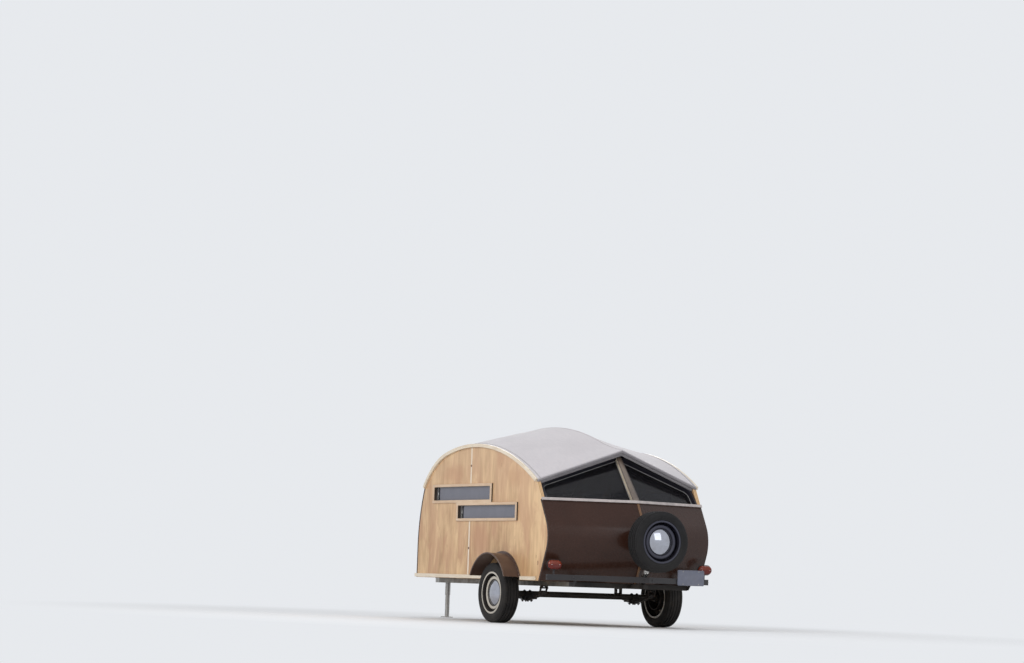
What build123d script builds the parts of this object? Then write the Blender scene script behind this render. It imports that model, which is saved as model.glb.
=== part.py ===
from build123d import *
import math
import os

os.makedirs("parts", exist_ok=True)

# A teardrop camping trailer with plywood walls, a vee-shaped prow and stern and a fabric roof.
# +X points forward to the coupler, +Y to the left, +Z up. The ground is at Z = 0.

# Overall length: the origin lies half way between the coupler's nose and the spare tyre's outer wall
nose_reach = 3350
spare_x = -1490
tyre_w = 185
tail_reach = tyre_w / 2 - spare_x
axle_x = (tail_reach - nose_reach) / 2

# Body shell
body_hw = 910
wall_t = 38
inner_hw = body_hw - wall_t
skin_t = 22
floor_t = 26
rail_top = 430
floor_top = rail_top + floor_t
roof_t = 12
strip_t = 14
fit_gap = 0.3

# Wheels and axle
tyre_r = 297
tread_w = 148
rim_seat_r = 196
rim_flange_r = 208.5
rim_w = 164
rim_t = 6
wheel_offset = 34
wheel_y = body_hw + wheel_offset
disc_in = 8
crown_r = 150
crown_out = 50
cap_r = 120
cap_dome = 36
cap_seat = 36
hub_r = 122
hub_bore_r = 33
hub_depth = 88
axle_tube_r = 30
axle_tube_end = wheel_y - hub_depth - 18
spindle_r = 17
spindle_over = 24
running_gap = 0.6

# Side outline, measured from the axle: arch, front edge and stern edge
arch_apex_x = 680
arch_apex_z = 1800
arch_rear_r = 2650
arch_rear_turn = 16
arch_top_r = 2600
arch_top_turn = 14
arch_nose_r = 905
arch_nose_turn = 54
stern_top_z = 1423
stern_bulge_r = 335
stern_high_lean = 30.5
stern_low_lean = 24
stern_edge_top_x = -662
stern_edge_low_x = -783
stern_vee = 300
stern_seam_low_x = stern_edge_low_x - stern_vee
stern_seam_top_z = 1744
roof_lap = 20
front_edge_x = 1945
front_edge_bend_z = 750
prow_depth_low = 330
prow_depth_top = 300

# Roof ridge
ridge_apex_x = 777
ridge_apex_z = 2020
ridge_dip_x = -250
ridge_dip_turn = 17.4
ridge_tail_x = -750
ridge_tail_turn = 7.6
ridge_top_r = 3000
ridge_top_turn = 14
roof_sag = 18
roof_crown = 10
roll_r = 17

# Trim
seam_gap = 2
strip_w = 22
strip_proud = 6
edge_w = 34
edge_over = 3
edge_proud = 22
sill_z = 452
sill_h = 36
sill_proud = 18
sill_table = [(-725, -400), (420, 1956)]

# Gable windows, which lean further in than the stern and lie between the walls
gable_set_in = 122.3
gable_top_drop = 8
gable_depth = 60
gable_rail = 22
gable_head = 62
gable_mullion_top = 30
gable_mullion_low = 40
gable_post = 25
gable_end = inner_hw - gable_post
gable_corner_r = 75
gable_pane_inset = 46
gable_reach = 90

# Roof bows
bow_w = 40
bow_depth = 34
bow_table = [-250, 480, 1250]
batten_front_x = 2040

# Belt rails
belt_z = 1226
belt_h = 26
belt_proud = 15
belt_back = 8

# Side windows: x of the rear edge and of the front edge from the axle, foot, head, side of the body
win_low = 1015
win_mid = 1203
win_high = 1397
window_table = [
    ("left front", 265, 1603, win_mid, win_high, 1),
    ("left rear", -290, 1043, win_low, win_mid, 1),
    ("right rear", -290, 372, win_mid, win_high, -1),
    ("right front", 1130, 1603, win_mid, win_high, -1),
]
win_rail = 28
win_stile = 40
win_proud = 14
pane_t = 6
pane_inset = 22

# Door in the right wall
door_rear = 440
door_front = 1060
door_foot = 500
door_head = 1560
door_gap = 5
door_corner_r = 110
door_win = (505, 995, 1190, 1410)
handle_z = 950
hinge_r = 8
hinge_out = 12
hinge_len = 80
hinge_pin_r = 3
hinge_leaf_w = 46
hinge_leaf_t = 3
hinge_heights = (640, 1370)

# Wheel openings and mudguards
arch_r = 402
guard_r = 410
guard_z = 283
guard_t = 5
guard_w = 178
guard_foot = 462
guard_flange = 22
guard_bead = 4
box_clear = 39.5
box_inner_y = wheel_y - tyre_w / 2 - box_clear
box_t = 8

# Chassis
rail_y = 620
rail_w = 50
rail_h = 50
rail_rear = -1000
member_table = [-975, -330, 480, 1200, 1920]
drawbar_half = 38
drawbar_root_y = rail_y - 60
nose_plate_x = (2930, 3190)
nose_plate_t = 8
drawbar_tip = 3190
spring_half = 330
spring_w = 50
leaf_t = 7
eye_z = 318
eye_r = 17
pin_r = 8
spring_top = 261
hanger_t = 6
hanger_w = 56
shackle_w = 30
shackle_lean = 24
shackle_z = 362
bolt_r = 5.5
bolt_y = spring_w / 2 + bolt_r + fit_gap

# Coupler and jack
ball_x = 3290
socket_r = 25.5
socket_depth = 34
coupler_foot = rail_top + nose_plate_t
coupler_rear = 3085
coupler_r = 60
coupler_h = 38
coupler_dome = 22
latch_w = 26
latch_outline = [(30, 0), (140, 0), (150, 12), (175, 20), (175, 30), (140, 28), (60, 44), (22, 50),
                 (22, 42), (48, 32)]
jack_x = 3010
jack_tube_r = 28.5
jack_leg_r = 24
jack_foot_r = 70
jack_foot_t = 10
jack_tube_low = 245
jack_tube_high = 690
jack_leg_high = 420
jack_head = 52
head_r = jack_tube_r + 6
jack_collar = 26
crank_r = 7
crank_reach = 112

# Bumper, lamps and number plate
bumper_corner_x = -953
bumper_seam_x = -1345
bumper_low = 441
bumper_high = 497
bumper_t = 5
bumper_lip = 30
bumper_over = 5
bumper_hw = body_hw + bumper_over
bumper_slope = (bumper_corner_x - bumper_seam_x) / bumper_hw
bracket_y = rail_y + rail_w / 2
bracket_x = bumper_seam_x + bumper_slope * bracket_y
bracket_t = 8
lamp_in = 57
lamp_y = body_hw - lamp_in
lamp_z = 590
lamp_back_x = bumper_corner_x - 13
lamp_depth = 42
lamp_w = 150
lamp_h = 88
stud_r = 6
plate_w = 305
plate_h = 152
plate_t = 3
plate_in = 332
plate_y = plate_in - body_hw
plate_z = 506
plate_gap = 5
plate_x = bumper_seam_x - bumper_slope * (plate_y + plate_w / 2) - plate_gap

# Spare wheel
spare_z = 842
post_x = -1240
post_t = 40
post_w = 44
boss_r = 48

# Furniture
bed_x = (-700, 1300)
bed_side = 12
bed_w = 2 * (box_inner_y - bed_side)
bed_t = 120
bed_corner_r = 60
cabinet_x = (1360, 1800)
cabinet_side = 12
cabinet_w = 2 * (inner_hw - cabinet_side)
cabinet_h = 420
worktop_t = 24
worktop_over = 20
board_t = 18


def at(x, z):
    """Point in the side view, with x measured from the axle."""
    return (axle_x + x, z)


def on_circle(cx, cz, r, turn):
    """Point of a circle in the side view; turn is 0 at the top and grows forward."""
    a = math.radians(turn)
    return (cx + r * math.sin(a), cz + r * math.cos(a))


def chain(x, z, spans):
    """Key points of tangent arcs from one start that is level, as (x, z, turn)."""
    points = [(x, z, 0)]
    turn = 0
    for radius, next_turn in spans:
        up = math.copysign(1, radius)
        r = abs(radius)
        a = math.radians(turn)
        cx = x - up * r * math.sin(a)
        cz = z - up * r * math.cos(a)
        for t in ((turn + next_turn) / 2, next_turn):
            b = math.radians(t)
            points.append((cx + up * r * math.sin(b), cz + up * r * math.cos(b), t))
        x, z, turn = points[-1]
    return points


# Stern lines: the straight parts of edge and seam are parallel, so each facet is made of flat planes
def stern_line(top_x, top_z, low_x):
    high = math.tan(math.radians(stern_high_lean))
    low = math.tan(math.radians(stern_low_lean))
    knee_z = (low_x - top_x + high * top_z + low * rail_top) / (high + low)
    knee_x = top_x - high * (top_z - knee_z)
    return [(top_x, top_z), (knee_x, knee_z), (low_x, rail_top)]


def inset_line(points, t):
    """The same line moved forward by a thickness measured square to each straight part."""
    high = math.radians(stern_high_lean)
    low = math.radians(stern_low_lean)
    top_x = points[0][0] + t / math.cos(high)
    low_x = points[2][0] + t / math.cos(low)
    return stern_line(top_x, points[0][1], low_x)


def cut_at(points, z):
    """The line without what lies above a height on its upper straight part."""
    lean = math.tan(math.radians(stern_high_lean))
    return [(points[0][0] - lean * (points[0][1] - z), z)] + points[1:]


high_slope = math.tan(math.radians(stern_high_lean))
stern_seam_top_x = stern_edge_top_x + high_slope * (stern_seam_top_z - stern_top_z) - stern_vee
stern_edge = stern_line(stern_edge_top_x, stern_top_z, stern_edge_low_x)
stern_seam = stern_line(stern_seam_top_x, stern_seam_top_z, stern_seam_low_x)


def stern_profile(points, t, z_top):
    """Closed face of one stern section between the floor line and a height."""
    outer = cut_at(points, z_top)
    inner = cut_at(inset_line(points, t), z_top)
    with BuildLine() as line:
        FilletPolyline(*[at(*p) for p in outer], radius=stern_bulge_r)
        FilletPolyline(*[at(*p) for p in inner], radius=stern_bulge_r - t)
        Line(at(*outer[0]), at(*inner[0]))
        Line(at(*outer[-1]), at(*inner[-1]))
    return line.line


def last_span(start, end_x, end_z):
    """Radius and final turn of the arc that leaves a key point tangent and ends at a given point."""
    x, z, turn = start
    side = math.copysign(1, end_x - x)
    chord = math.degrees(math.atan2(z - end_z, abs(end_x - x)))
    final = 2 * chord - abs(turn)
    spread = math.sin(math.radians(final)) - math.sin(math.radians(abs(turn)))
    return (abs(end_x - x) / spread, side * final)


# Roof sections: nine key points each, from the stern to the prow
arch_rear_mid = chain(arch_apex_x, arch_apex_z, [(arch_rear_r, -arch_rear_turn)])[-1]
arch_rear = chain(arch_apex_x, arch_apex_z, [
    (arch_rear_r, -arch_rear_turn),
    last_span(arch_rear_mid, stern_edge_top_x - roof_lap, stern_top_z),
])
arch_front = chain(arch_apex_x, arch_apex_z, [(arch_top_r, arch_top_turn), (arch_nose_r, arch_nose_turn)])
arch_keys = arch_rear[:0:-1] + arch_front

prow_top_x = arch_front[-1][0] + prow_depth_top
prow_top_z = arch_front[-1][1]
dip_r = (ridge_apex_x - ridge_dip_x) / math.sin(math.radians(ridge_dip_turn))
dip_s = math.sin(math.radians(ridge_dip_turn)) - math.sin(math.radians(ridge_tail_turn))
tail_r = (ridge_dip_x - ridge_tail_x) / dip_s
ridge_rear = chain(ridge_apex_x, ridge_apex_z, [(dip_r, -ridge_dip_turn), (-tail_r, -ridge_tail_turn)])
ridge_mid = chain(ridge_apex_x, ridge_apex_z, [(ridge_top_r, ridge_top_turn)])[-1]
ridge_front = chain(ridge_apex_x, ridge_apex_z, [
    (ridge_top_r, ridge_top_turn),
    last_span(ridge_mid, prow_top_x, prow_top_z),
])
ridge_keys = ridge_rear[:0:-1] + ridge_front
crown_keys = []
for i, (a, r) in enumerate(zip(arch_keys, ridge_keys)):
    swell = (roof_sag if i < 4 else roof_crown) * math.sin(math.pi * i / 4)
    crown_keys.append(((a[0] + r[0]) / 2, (a[1] + r[1]) / 2 - swell, (a[2] + r[2]) / 2))


def roof_profile(keys, depth):
    """Closed roof section: outer arcs and the same arcs moved inward."""
    inner = [(x - depth * math.sin(math.radians(t)), z - depth * math.cos(math.radians(t)))
             for x, z, t in keys]
    outer = [(x, z) for x, z, t in keys]
    with BuildLine() as line:
        for row in (outer, inner):
            for i in range(0, 8, 2):
                ThreePointArc(at(*row[i]), at(*row[i + 1]), at(*row[i + 2]))
        Line(at(*outer[0]), at(*inner[0]))
        Line(at(*outer[-1]), at(*inner[-1]))
    return line.line


def side_plane(y):
    """Side-view plane at a given y: its x is the trailer's X, its y is Z."""
    return Plane(origin=(0, y, 0), x_dir=(1, 0, 0), z_dir=(0, -1, 0))


def shifted(keys, depth):
    """Key points moved inward along their normals."""
    return [(x - depth * math.sin(math.radians(t)), z - depth * math.cos(math.radians(t)), t)
            for x, z, t in keys]


def roof_band(gap, depth):
    """Sections of a band under the roof line, from right to left."""
    sections = []
    for y, keys in ((-body_hw, arch_keys), (-body_hw / 2, crown_keys), (0, ridge_keys),
                    (body_hw / 2, crown_keys), (body_hw, arch_keys)):
        with BuildSketch(side_plane(y)) as section:
            add(make_face(roof_profile(shifted(keys, gap), depth)))
        sections.append(section.sketch)
    return sections


def prow_profile(low_x, top_x, t):
    """Closed face of one prow section: upright below, one arc above."""
    rise = prow_top_z - front_edge_bend_z
    r = ((low_x - top_x) ** 2 + rise ** 2) / (2 * (low_x - top_x))
    with BuildLine() as line:
        for radius in (r, r - t):
            half = math.asin(rise / radius) / 2
            end = math.asin(rise / radius)
            cx = low_x - r
            bend = at(cx + radius, front_edge_bend_z)
            Line(at(cx + radius, rail_top), bend)
            ThreePointArc(
                bend,
                at(cx + radius * math.cos(half), front_edge_bend_z + radius * math.sin(half)),
                at(cx + radius * math.cos(end), prow_top_z),
            )
        inner_end = math.asin(rise / (r - t))
        Line(at(top_x, prow_top_z), at(low_x - r + (r - t) * math.cos(inner_end), prow_top_z))
        Line(at(low_x, rail_top), at(low_x - t, rail_top))
    return line.line


def outline_edge(low_x, top_x):
    """Front edge of the side outline as open edges, from the foot to the arch."""
    rise = prow_top_z - front_edge_bend_z
    r = ((low_x - top_x) ** 2 + rise ** 2) / (2 * (low_x - top_x))
    half = math.asin(rise / r) / 2
    Line(at(low_x, rail_top), at(low_x, front_edge_bend_z))
    ThreePointArc(
        at(low_x, front_edge_bend_z),
        at(low_x - r + r * math.cos(half), front_edge_bend_z + r * math.sin(half)),
        at(top_x, prow_top_z),
    )


# Planes through the belt line of the left half: the stern's, with the belt rail, and the windows'
rake = stern_vee / body_hw
belt_seam_x = axle_x + stern_seam_top_x - high_slope * (stern_seam_top_z - belt_z)
gable_top_x = axle_x + ridge_tail_x + gable_set_in
gable_top_z = ridge_keys[0][1] - gable_top_drop
gable_slope = (gable_top_x - belt_seam_x) / (gable_top_z - belt_z)
stern_plane = Plane(origin=(belt_seam_x, 0, belt_z), x_dir=(-rake, -1, 0), z_dir=(-1, rake, high_slope))
gable_plane = Plane(origin=(belt_seam_x, 0, belt_z), x_dir=(-rake, -1, 0), z_dir=(-1, rake, gable_slope))


def on_plane(plane, slope, rows):
    """Closed polygon from (y, z) corners in a plane that leans by a slope."""
    local = [plane.to_local_coords(Vector(belt_seam_x + slope * (z - belt_z) + rake * y, y, z))
             for y, z in rows]
    with BuildLine() as line:
        Polyline(*[(p.X, p.Y) for p in local], close=True)
    return make_face(line.line)


def gable_z(y):
    """Height of the gable's upper edge."""
    return gable_top_z - (gable_top_z - stern_top_z) * y / body_hw


# Fabric roof, stretched from both arches over the ridge, with a rolled hem along the gable
hem_low = Vector(axle_x + arch_keys[0][0] + roll_r, body_hw, arch_keys[0][1] - roll_r)
hem_top = Vector(axle_x + ridge_keys[0][0] + roll_r, 0, ridge_keys[0][1] - roll_r)
hem_run = hem_top - hem_low
with BuildPart() as roof_cover:
    with BuildSketch(Plane(origin=hem_low, z_dir=hem_run)):
        Circle(roll_r)
    extrude(amount=hem_run.length + roll_r)
    split(bisect_by=Plane.XZ, keep=Keep.BOTTOM)
    mirror(about=Plane.XZ)
    loft(roof_band(0, roof_t), ruled=True)

# Stern skin below the belt line: one facet a side, flat above and below a rounded bulge
with BuildPart() as rear_panels:
    for y, points in ((seam_gap / 2, stern_seam), (body_hw, stern_edge)):
        with BuildSketch(side_plane(y)):
            add(make_face(stern_profile(points, skin_t, belt_z)))
    loft(ruled=True)
    mirror(about=Plane.XZ)

# Prow skin: one facet a side, its head tucked under the roof
with BuildPart() as front_panels:
    for y, low_x, top_x in ((seam_gap / 2, front_edge_x + prow_depth_low, prow_top_x),
                            (body_hw, front_edge_x, arch_front[-1][0])):
        with BuildSketch(side_plane(y)):
            add(make_face(prow_profile(low_x, top_x, skin_t)))
    loft(ruled=True)
    mirror(about=Plane.XZ)
    add(roof_cover.part, mode=Mode.SUBTRACT)

# Gable over the belt line: a frame a side round one three-cornered opening, and the mullion between them
gable_head_z = gable_z(gable_mullion_top) - gable_head
gable_opening = [
    (gable_mullion_low, belt_z + gable_rail),
    (gable_end, belt_z + gable_rail),
    (gable_end, gable_z(gable_end) - gable_head),
    (gable_mullion_top, gable_head_z),
]
mullion_slope = (gable_mullion_low - gable_mullion_top) / (gable_head_z - belt_z - gable_rail)
mullion_ends = [(gable_mullion_low + mullion_slope * (belt_z + gable_rail - z), z)
                for z in (belt_z, gable_z(0) + gable_reach)]
with BuildSketch(gable_plane) as gable_hole:
    add(on_plane(gable_plane, gable_slope, gable_opening))
    outer_corner = gable_hole.vertices().sort_by(Axis.X)[:2].sort_by(Axis.Y)[-1]
    fillet(outer_corner, radius=gable_corner_r)


def gable_slab(rows, hole):
    """Left half of a slab in the windows' plane, between the walls and under the roof."""
    with BuildPart() as slab:
        with BuildSketch(gable_plane):
            add(on_plane(gable_plane, gable_slope, rows))
            if hole:
                add(hole, mode=Mode.SUBTRACT)
        extrude(amount=-gable_depth)
        split(bisect_by=Plane.XZ, keep=Keep.BOTTOM)
        split(bisect_by=Plane.XZ.offset(-inner_hw), keep=Keep.TOP)
        add(roof_cover.part, mode=Mode.SUBTRACT)
        add(rear_panels.part, mode=Mode.SUBTRACT)
    return slab.part.solids().sort_by(SortBy.VOLUME)[-1]


with BuildPart() as gable_frame:
    add(gable_slab([mullion_ends[0], (body_hw, belt_z), (body_hw, gable_z(body_hw) + gable_reach),
                    mullion_ends[1]], gable_hole.sketch_local))
    mirror(about=Plane.XZ)

with BuildPart() as mullion:
    add(gable_slab([(-gable_mullion_low, belt_z), mullion_ends[0], mullion_ends[1],
                    (-gable_mullion_low, mullion_ends[1][1])], None))
    mirror(about=Plane.XZ)

# Bows and ridge batten that carry the roof, cut from one band under it
with BuildPart() as roof_frame:
    loft(roof_band(roof_t + fit_gap, bow_depth), ruled=True)
    with BuildPart(mode=Mode.PRIVATE) as bow_slabs:
        batten_rear_x = gable_top_x + gable_depth
        with Locations((batten_rear_x, 0, ridge_apex_z / 2)):
            Box(axle_x + batten_front_x - batten_rear_x, bow_w, ridge_apex_z,
                align=(Align.MIN, Align.CENTER, Align.CENTER))
        for x in bow_table:
            with Locations((axle_x + x, 0, ridge_apex_z / 2)):
                Box(bow_w, 2 * inner_hw, ridge_apex_z)
    add(bow_slabs.part, mode=Mode.INTERSECT)
    add(gable_frame.part, mode=Mode.SUBTRACT)
    add(mullion.part, mode=Mode.SUBTRACT)


def wall_solid(side):
    """One side wall between its inner and outer face, trimmed by the skins and the roof."""
    with BuildPart() as wall:
        with BuildSketch(side_plane(side * body_hw)):
            with BuildLine():
                FilletPolyline(*[at(*p) for p in stern_edge], radius=stern_bulge_r)
                Line(at(*stern_edge[-1]), at(front_edge_x, rail_top))
                outline_edge(front_edge_x, arch_front[-1][0])
                for i in range(0, 8, 2):
                    ThreePointArc(*[at(p[0], p[1]) for p in arch_keys[i:i + 3]])
                Line(at(arch_keys[0][0], arch_keys[0][1]), at(*stern_edge[0]))
            make_face()
        extrude(amount=side * wall_t)
        for skin in (roof_cover, rear_panels, front_panels):
            add(skin.part, mode=Mode.SUBTRACT)
        with BuildSketch(side_plane(side * body_hw)):
            with Locations(at(0, tyre_r)):
                Circle(arch_r)
            for name, rear, front, foot, head, where in window_table:
                if where == side:
                    with Locations(at((rear + front) / 2, (foot + head) / 2)):
                        Rectangle(front - rear, head - foot)
        extrude(amount=side * wall_t, mode=Mode.SUBTRACT)
    return wall.part.solids().sort_by(SortBy.VOLUME)[-1]


def door_sketch(inset):
    """Outline of the door, with round upper corners."""
    width = door_front - door_rear - 2 * inset
    height = door_head - door_foot - 2 * inset
    with BuildSketch(side_plane(-body_hw)) as face:
        with Locations(at((door_rear + door_front) / 2, (door_foot + door_head) / 2)):
            RectangleRounded(width, height, door_corner_r - inset)
    return face.sketch


# Side walls
with BuildPart() as side_wall_left:
    add(wall_solid(1))

with BuildPart() as side_wall_right:
    add(wall_solid(-1))
    extrude(door_sketch(0), amount=wall_t, dir=(0, 1, 0), mode=Mode.SUBTRACT)

# Floor with the boxes that clear the wheels
with BuildPart() as floor_pan:
    stern_in = skin_t / 2
    with BuildSketch(Plane.XY.offset(rail_top)):
        with BuildLine():
            corners = [(stern_edge_low_x + stern_in, inner_hw), (front_edge_x - stern_in, inner_hw)]
            seam = [(front_edge_x + prow_depth_low - stern_in, 0)]
            back = [(x, -y) for x, y in corners[::-1]]
            tail = [(stern_seam_low_x + stern_in, 0)]
            Polyline(*[(axle_x + x, y) for x, y in corners + seam + back + tail], close=True)
        make_face()
    extrude(amount=floor_t)
    for side in (1, -1):
        with BuildSketch(side_plane(side * inner_hw)):
            with Locations(at(0, tyre_r)):
                Circle(arch_r + box_t)
            with Locations(at(0, rail_top)):
                Rectangle(3 * arch_r, 2 * arch_r, align=(Align.CENTER, Align.MAX), mode=Mode.SUBTRACT)
        extrude(amount=side * (inner_hw - box_inner_y))
        with BuildSketch(side_plane(side * inner_hw)):
            with Locations(at(0, tyre_r)):
                Circle(arch_r)
        extrude(amount=side * (inner_hw - box_inner_y - box_t), mode=Mode.SUBTRACT)
    add(rear_panels.part, mode=Mode.SUBTRACT)
    add(front_panels.part, mode=Mode.SUBTRACT)

# Proud strips on both walls: one bent along the arch, two along the sill
with BuildPart() as edge_mouldings:
    for side in (1, -1):
        with BuildSketch(side_plane(side * body_hw)):
            add(make_face(roof_profile(shifted(arch_keys, -edge_over), edge_w)))
        extrude(amount=-side * edge_proud)
        with BuildSketch(side_plane(side * body_hw)):
            for rear, front in sill_table:
                with Locations(at((rear + front) / 2, sill_z)):
                    Rectangle(front - rear, sill_h)
        extrude(amount=-side * sill_proud)
    add(roof_cover.part, mode=Mode.SUBTRACT)

# Belt rails, mullion, and seam strips of stern and prow
with BuildPart() as trim_strips:
    belt_low = belt_z - belt_h / 2
    belt_top = belt_z + belt_h / 2
    with BuildSketch(stern_plane.offset(-belt_back)):
        add(on_plane(stern_plane, high_slope,
                     [(-belt_h, belt_low), (body_hw, belt_low), (body_hw, belt_top), (-belt_h, belt_top)]))
    extrude(amount=belt_proud + belt_back)
    split(bisect_by=Plane.XZ, keep=Keep.BOTTOM)
    mirror(about=Plane.XZ)
    add(mullion.part)
    with BuildSketch(side_plane(strip_w / 2)):
        add(make_face(stern_profile([(x - strip_proud, z) for x, z in stern_seam], strip_t, belt_z)))
    extrude(amount=strip_w)
    with BuildSketch(side_plane(strip_w / 2)):
        add(make_face(prow_profile(front_edge_x + prow_depth_low + strip_proud,
                                   prow_top_x + strip_proud, strip_t)))
    extrude(amount=strip_w)
    for part in (rear_panels, gable_frame, front_panels, roof_cover, side_wall_left, side_wall_right):
        add(part.part, mode=Mode.SUBTRACT)


def window_rect(rear, front, foot, head):
    """Centre, width and height of a window rectangle in the side view."""
    return at((rear + front) / 2, (foot + head) / 2), front - rear, head - foot


# Window frames, let into the walls and standing proud of them; two that touch are one frame
with BuildPart() as window_frames:
    for name, rear, front, foot, head, side in window_table:
        centre, width, height = window_rect(rear, front, foot, head)
        with BuildSketch(side_plane(side * (body_hw + win_proud))):
            with Locations(centre):
                Rectangle(width, height)
                Rectangle(width - 2 * win_stile, height - 2 * win_rail, mode=Mode.SUBTRACT)
        extrude(amount=side * (wall_t + win_proud))

# Panes of the gable and of the side windows
with BuildPart() as fixed_glass:
    with BuildSketch(gable_plane.offset(-gable_pane_inset)):
        add(gable_hole.sketch_local)
    extrude(amount=-pane_t)
    mirror(about=Plane.XZ)
    for name, rear, front, foot, head, side in window_table:
        centre, width, height = window_rect(rear, front, foot, head)
        with BuildSketch(side_plane(side * (body_hw - pane_inset))):
            with Locations(centre):
                Rectangle(width - 2 * win_stile, height - 2 * win_rail)
        extrude(amount=side * pane_t)

# Mudguards: a half-round sheet with a beaded outer edge and a flange on the wall
with BuildPart() as mudguards:
    for side in (1, -1):
        for r_out, r_in, near, far in (
            (guard_r, guard_r - guard_t, 0, guard_w),
            (guard_r + guard_flange, guard_r - guard_t, 0, guard_t),
            (guard_r + guard_bead, guard_r - guard_t - guard_bead, guard_w - 2 * guard_t, guard_w),
        ):
            with BuildSketch(side_plane(side * (body_hw + near))):
                with Locations(at(0, guard_z)):
                    Circle(r_out)
                    Circle(r_in, mode=Mode.SUBTRACT)
                with Locations(at(0, guard_foot)):
                    Rectangle(4 * guard_r, 4 * guard_r, align=(Align.CENTER, Align.MAX),
                              mode=Mode.SUBTRACT)
            extrude(amount=-side * (far - near))

# Chassis ladder
with BuildPart() as chassis_frame:
    rail_mid = rail_top - rail_h / 2
    for side in (1, -1):
        with Locations((axle_x + rail_rear, side * rail_y, rail_mid)):
            Box(front_edge_x - rail_rear, rail_w, rail_h, align=(Align.MIN, Align.CENTER, Align.CENTER))
    for x in member_table:
        with Locations((axle_x + x, 0, rail_mid)):
            Box(rail_w, 2 * rail_y - rail_w, rail_h)

# Drawbar: two converging tubes under a nose plate with the jack's hole
with BuildPart() as drawbar:
    run = drawbar_tip - front_edge_x
    fall = drawbar_root_y - drawbar_half
    half = rail_w / 2 * math.hypot(run, fall) / run
    with BuildSketch(Plane.XY.offset(rail_top - rail_h)):
        for side in (1, -1):
            with BuildLine():
                Polyline(*[(axle_x + x, side * y) for x, y in (
                    (front_edge_x, drawbar_root_y + half), (drawbar_tip, drawbar_half + half),
                    (drawbar_tip, drawbar_half - half), (front_edge_x, drawbar_root_y - half))], close=True)
            make_face()
    extrude(amount=rail_h)
    with BuildSketch(Plane.XY.offset(rail_top)):
        with BuildLine():
            near = [(x, drawbar_half + half + fall / run * max(0, drawbar_tip - x)) for x in nose_plate_x]
            Polyline(*[(axle_x + x, y) for x, y in near],
                     *[(axle_x + x, -y) for x, y in near[::-1]], close=True)
        make_face()
        with Locations((axle_x + jack_x, 0)):
            Circle(jack_tube_r, mode=Mode.SUBTRACT)
    extrude(amount=nose_plate_t)

# Coupler: a long housing that ends in a round head over the ball socket
with BuildPart() as coupler:
    with BuildSketch(Plane.XY.offset(coupler_foot)):
        with Locations((axle_x + ball_x, 0)):
            Circle(coupler_r)
        with BuildLine():
            Polyline(*[(axle_x + x, y) for x, y in (
                (coupler_rear, 36), (ball_x, coupler_r - 4), (ball_x, 4 - coupler_r), (coupler_rear, -36))],
                close=True)
        make_face()
    extrude(amount=coupler_h)
    with BuildSketch(Plane.XY.offset(coupler_foot + coupler_h)):
        with Locations((axle_x + ball_x, 0)):
            Circle(coupler_r - 6)
    extrude(amount=coupler_dome, taper=24)
    with BuildSketch(side_plane(latch_w / 2)):
        with BuildLine():
            Polyline(*[at(coupler_rear + x, coupler_foot + coupler_h + z) for x, z in latch_outline],
                     close=True)
        make_face()
    extrude(amount=latch_w)
    with Locations((axle_x + ball_x, 0, coupler_foot)):
        Cylinder(socket_r, socket_depth, align=(Align.CENTER, Align.CENTER, Align.MIN),
                 mode=Mode.SUBTRACT)

# Jack: outer tube with gear head, crank, and the leg that slides in the tube
with BuildPart() as jack_tube:
    with Locations((axle_x + jack_x, 0, jack_tube_low)):
        Cylinder(jack_tube_r, jack_tube_high - jack_tube_low, align=(Align.CENTER, Align.CENTER, Align.MIN))
    with Locations((axle_x + jack_x, 0, rail_top + nose_plate_t)):
        Cylinder(jack_tube_r + jack_collar, nose_plate_t, align=(Align.CENTER, Align.CENTER, Align.MIN))
    with Locations((axle_x + jack_x, 0, jack_tube_high)):
        Cylinder(head_r, jack_head, align=(Align.CENTER, Align.CENTER, Align.MIN))
    with Locations((axle_x + jack_x, 0, jack_tube_low)):
        Cylinder(jack_leg_r + running_gap, jack_tube_high - jack_tube_low - 10,
                 align=(Align.CENTER, Align.CENTER, Align.MIN), mode=Mode.SUBTRACT)

with BuildPart() as jack_crank:
    shaft_z = jack_tube_high + jack_head / 2
    shaft_end = head_r + 46
    with BuildSketch(side_plane(head_r)):
        with Locations(at(jack_x, shaft_z)):
            Circle(crank_r)
    extrude(amount=head_r - shaft_end)
    with BuildSketch(side_plane(shaft_end - 12)):
        with Locations(at(jack_x - crank_reach / 2, shaft_z)):
            SlotCenterToCenter(crank_reach, 3 * crank_r)
    extrude(amount=-12)
    with BuildSketch(side_plane(shaft_end)):
        with Locations(at(jack_x - crank_reach, shaft_z)):
            Circle(2 * crank_r)
    extrude(amount=-90)

with BuildPart() as jack_leg:
    with Locations((axle_x + jack_x, 0, 0)):
        Cylinder(jack_foot_r, jack_foot_t, align=(Align.CENTER, Align.CENTER, Align.MIN))
        Cylinder(jack_leg_r, jack_leg_high, align=(Align.CENTER, Align.CENTER, Align.MIN))
    rim = jack_leg.edges().filter_by(GeomType.CIRCLE).sort_by(SortBy.RADIUS)[-2:].sort_by(Axis.Z)[-1]
    chamfer(rim, length=jack_foot_t / 2)

# Axle: one tube with a spindle at each end
with BuildPart() as axle_beam:
    with BuildSketch(side_plane(axle_tube_end)):
        with Locations(at(0, tyre_r)):
            Circle(axle_tube_r)
    extrude(amount=2 * axle_tube_end)
    with BuildSketch(side_plane(wheel_y + spindle_over)):
        with Locations(at(0, tyre_r)):
            Circle(spindle_r)
    extrude(amount=2 * (wheel_y + spindle_over))

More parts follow.
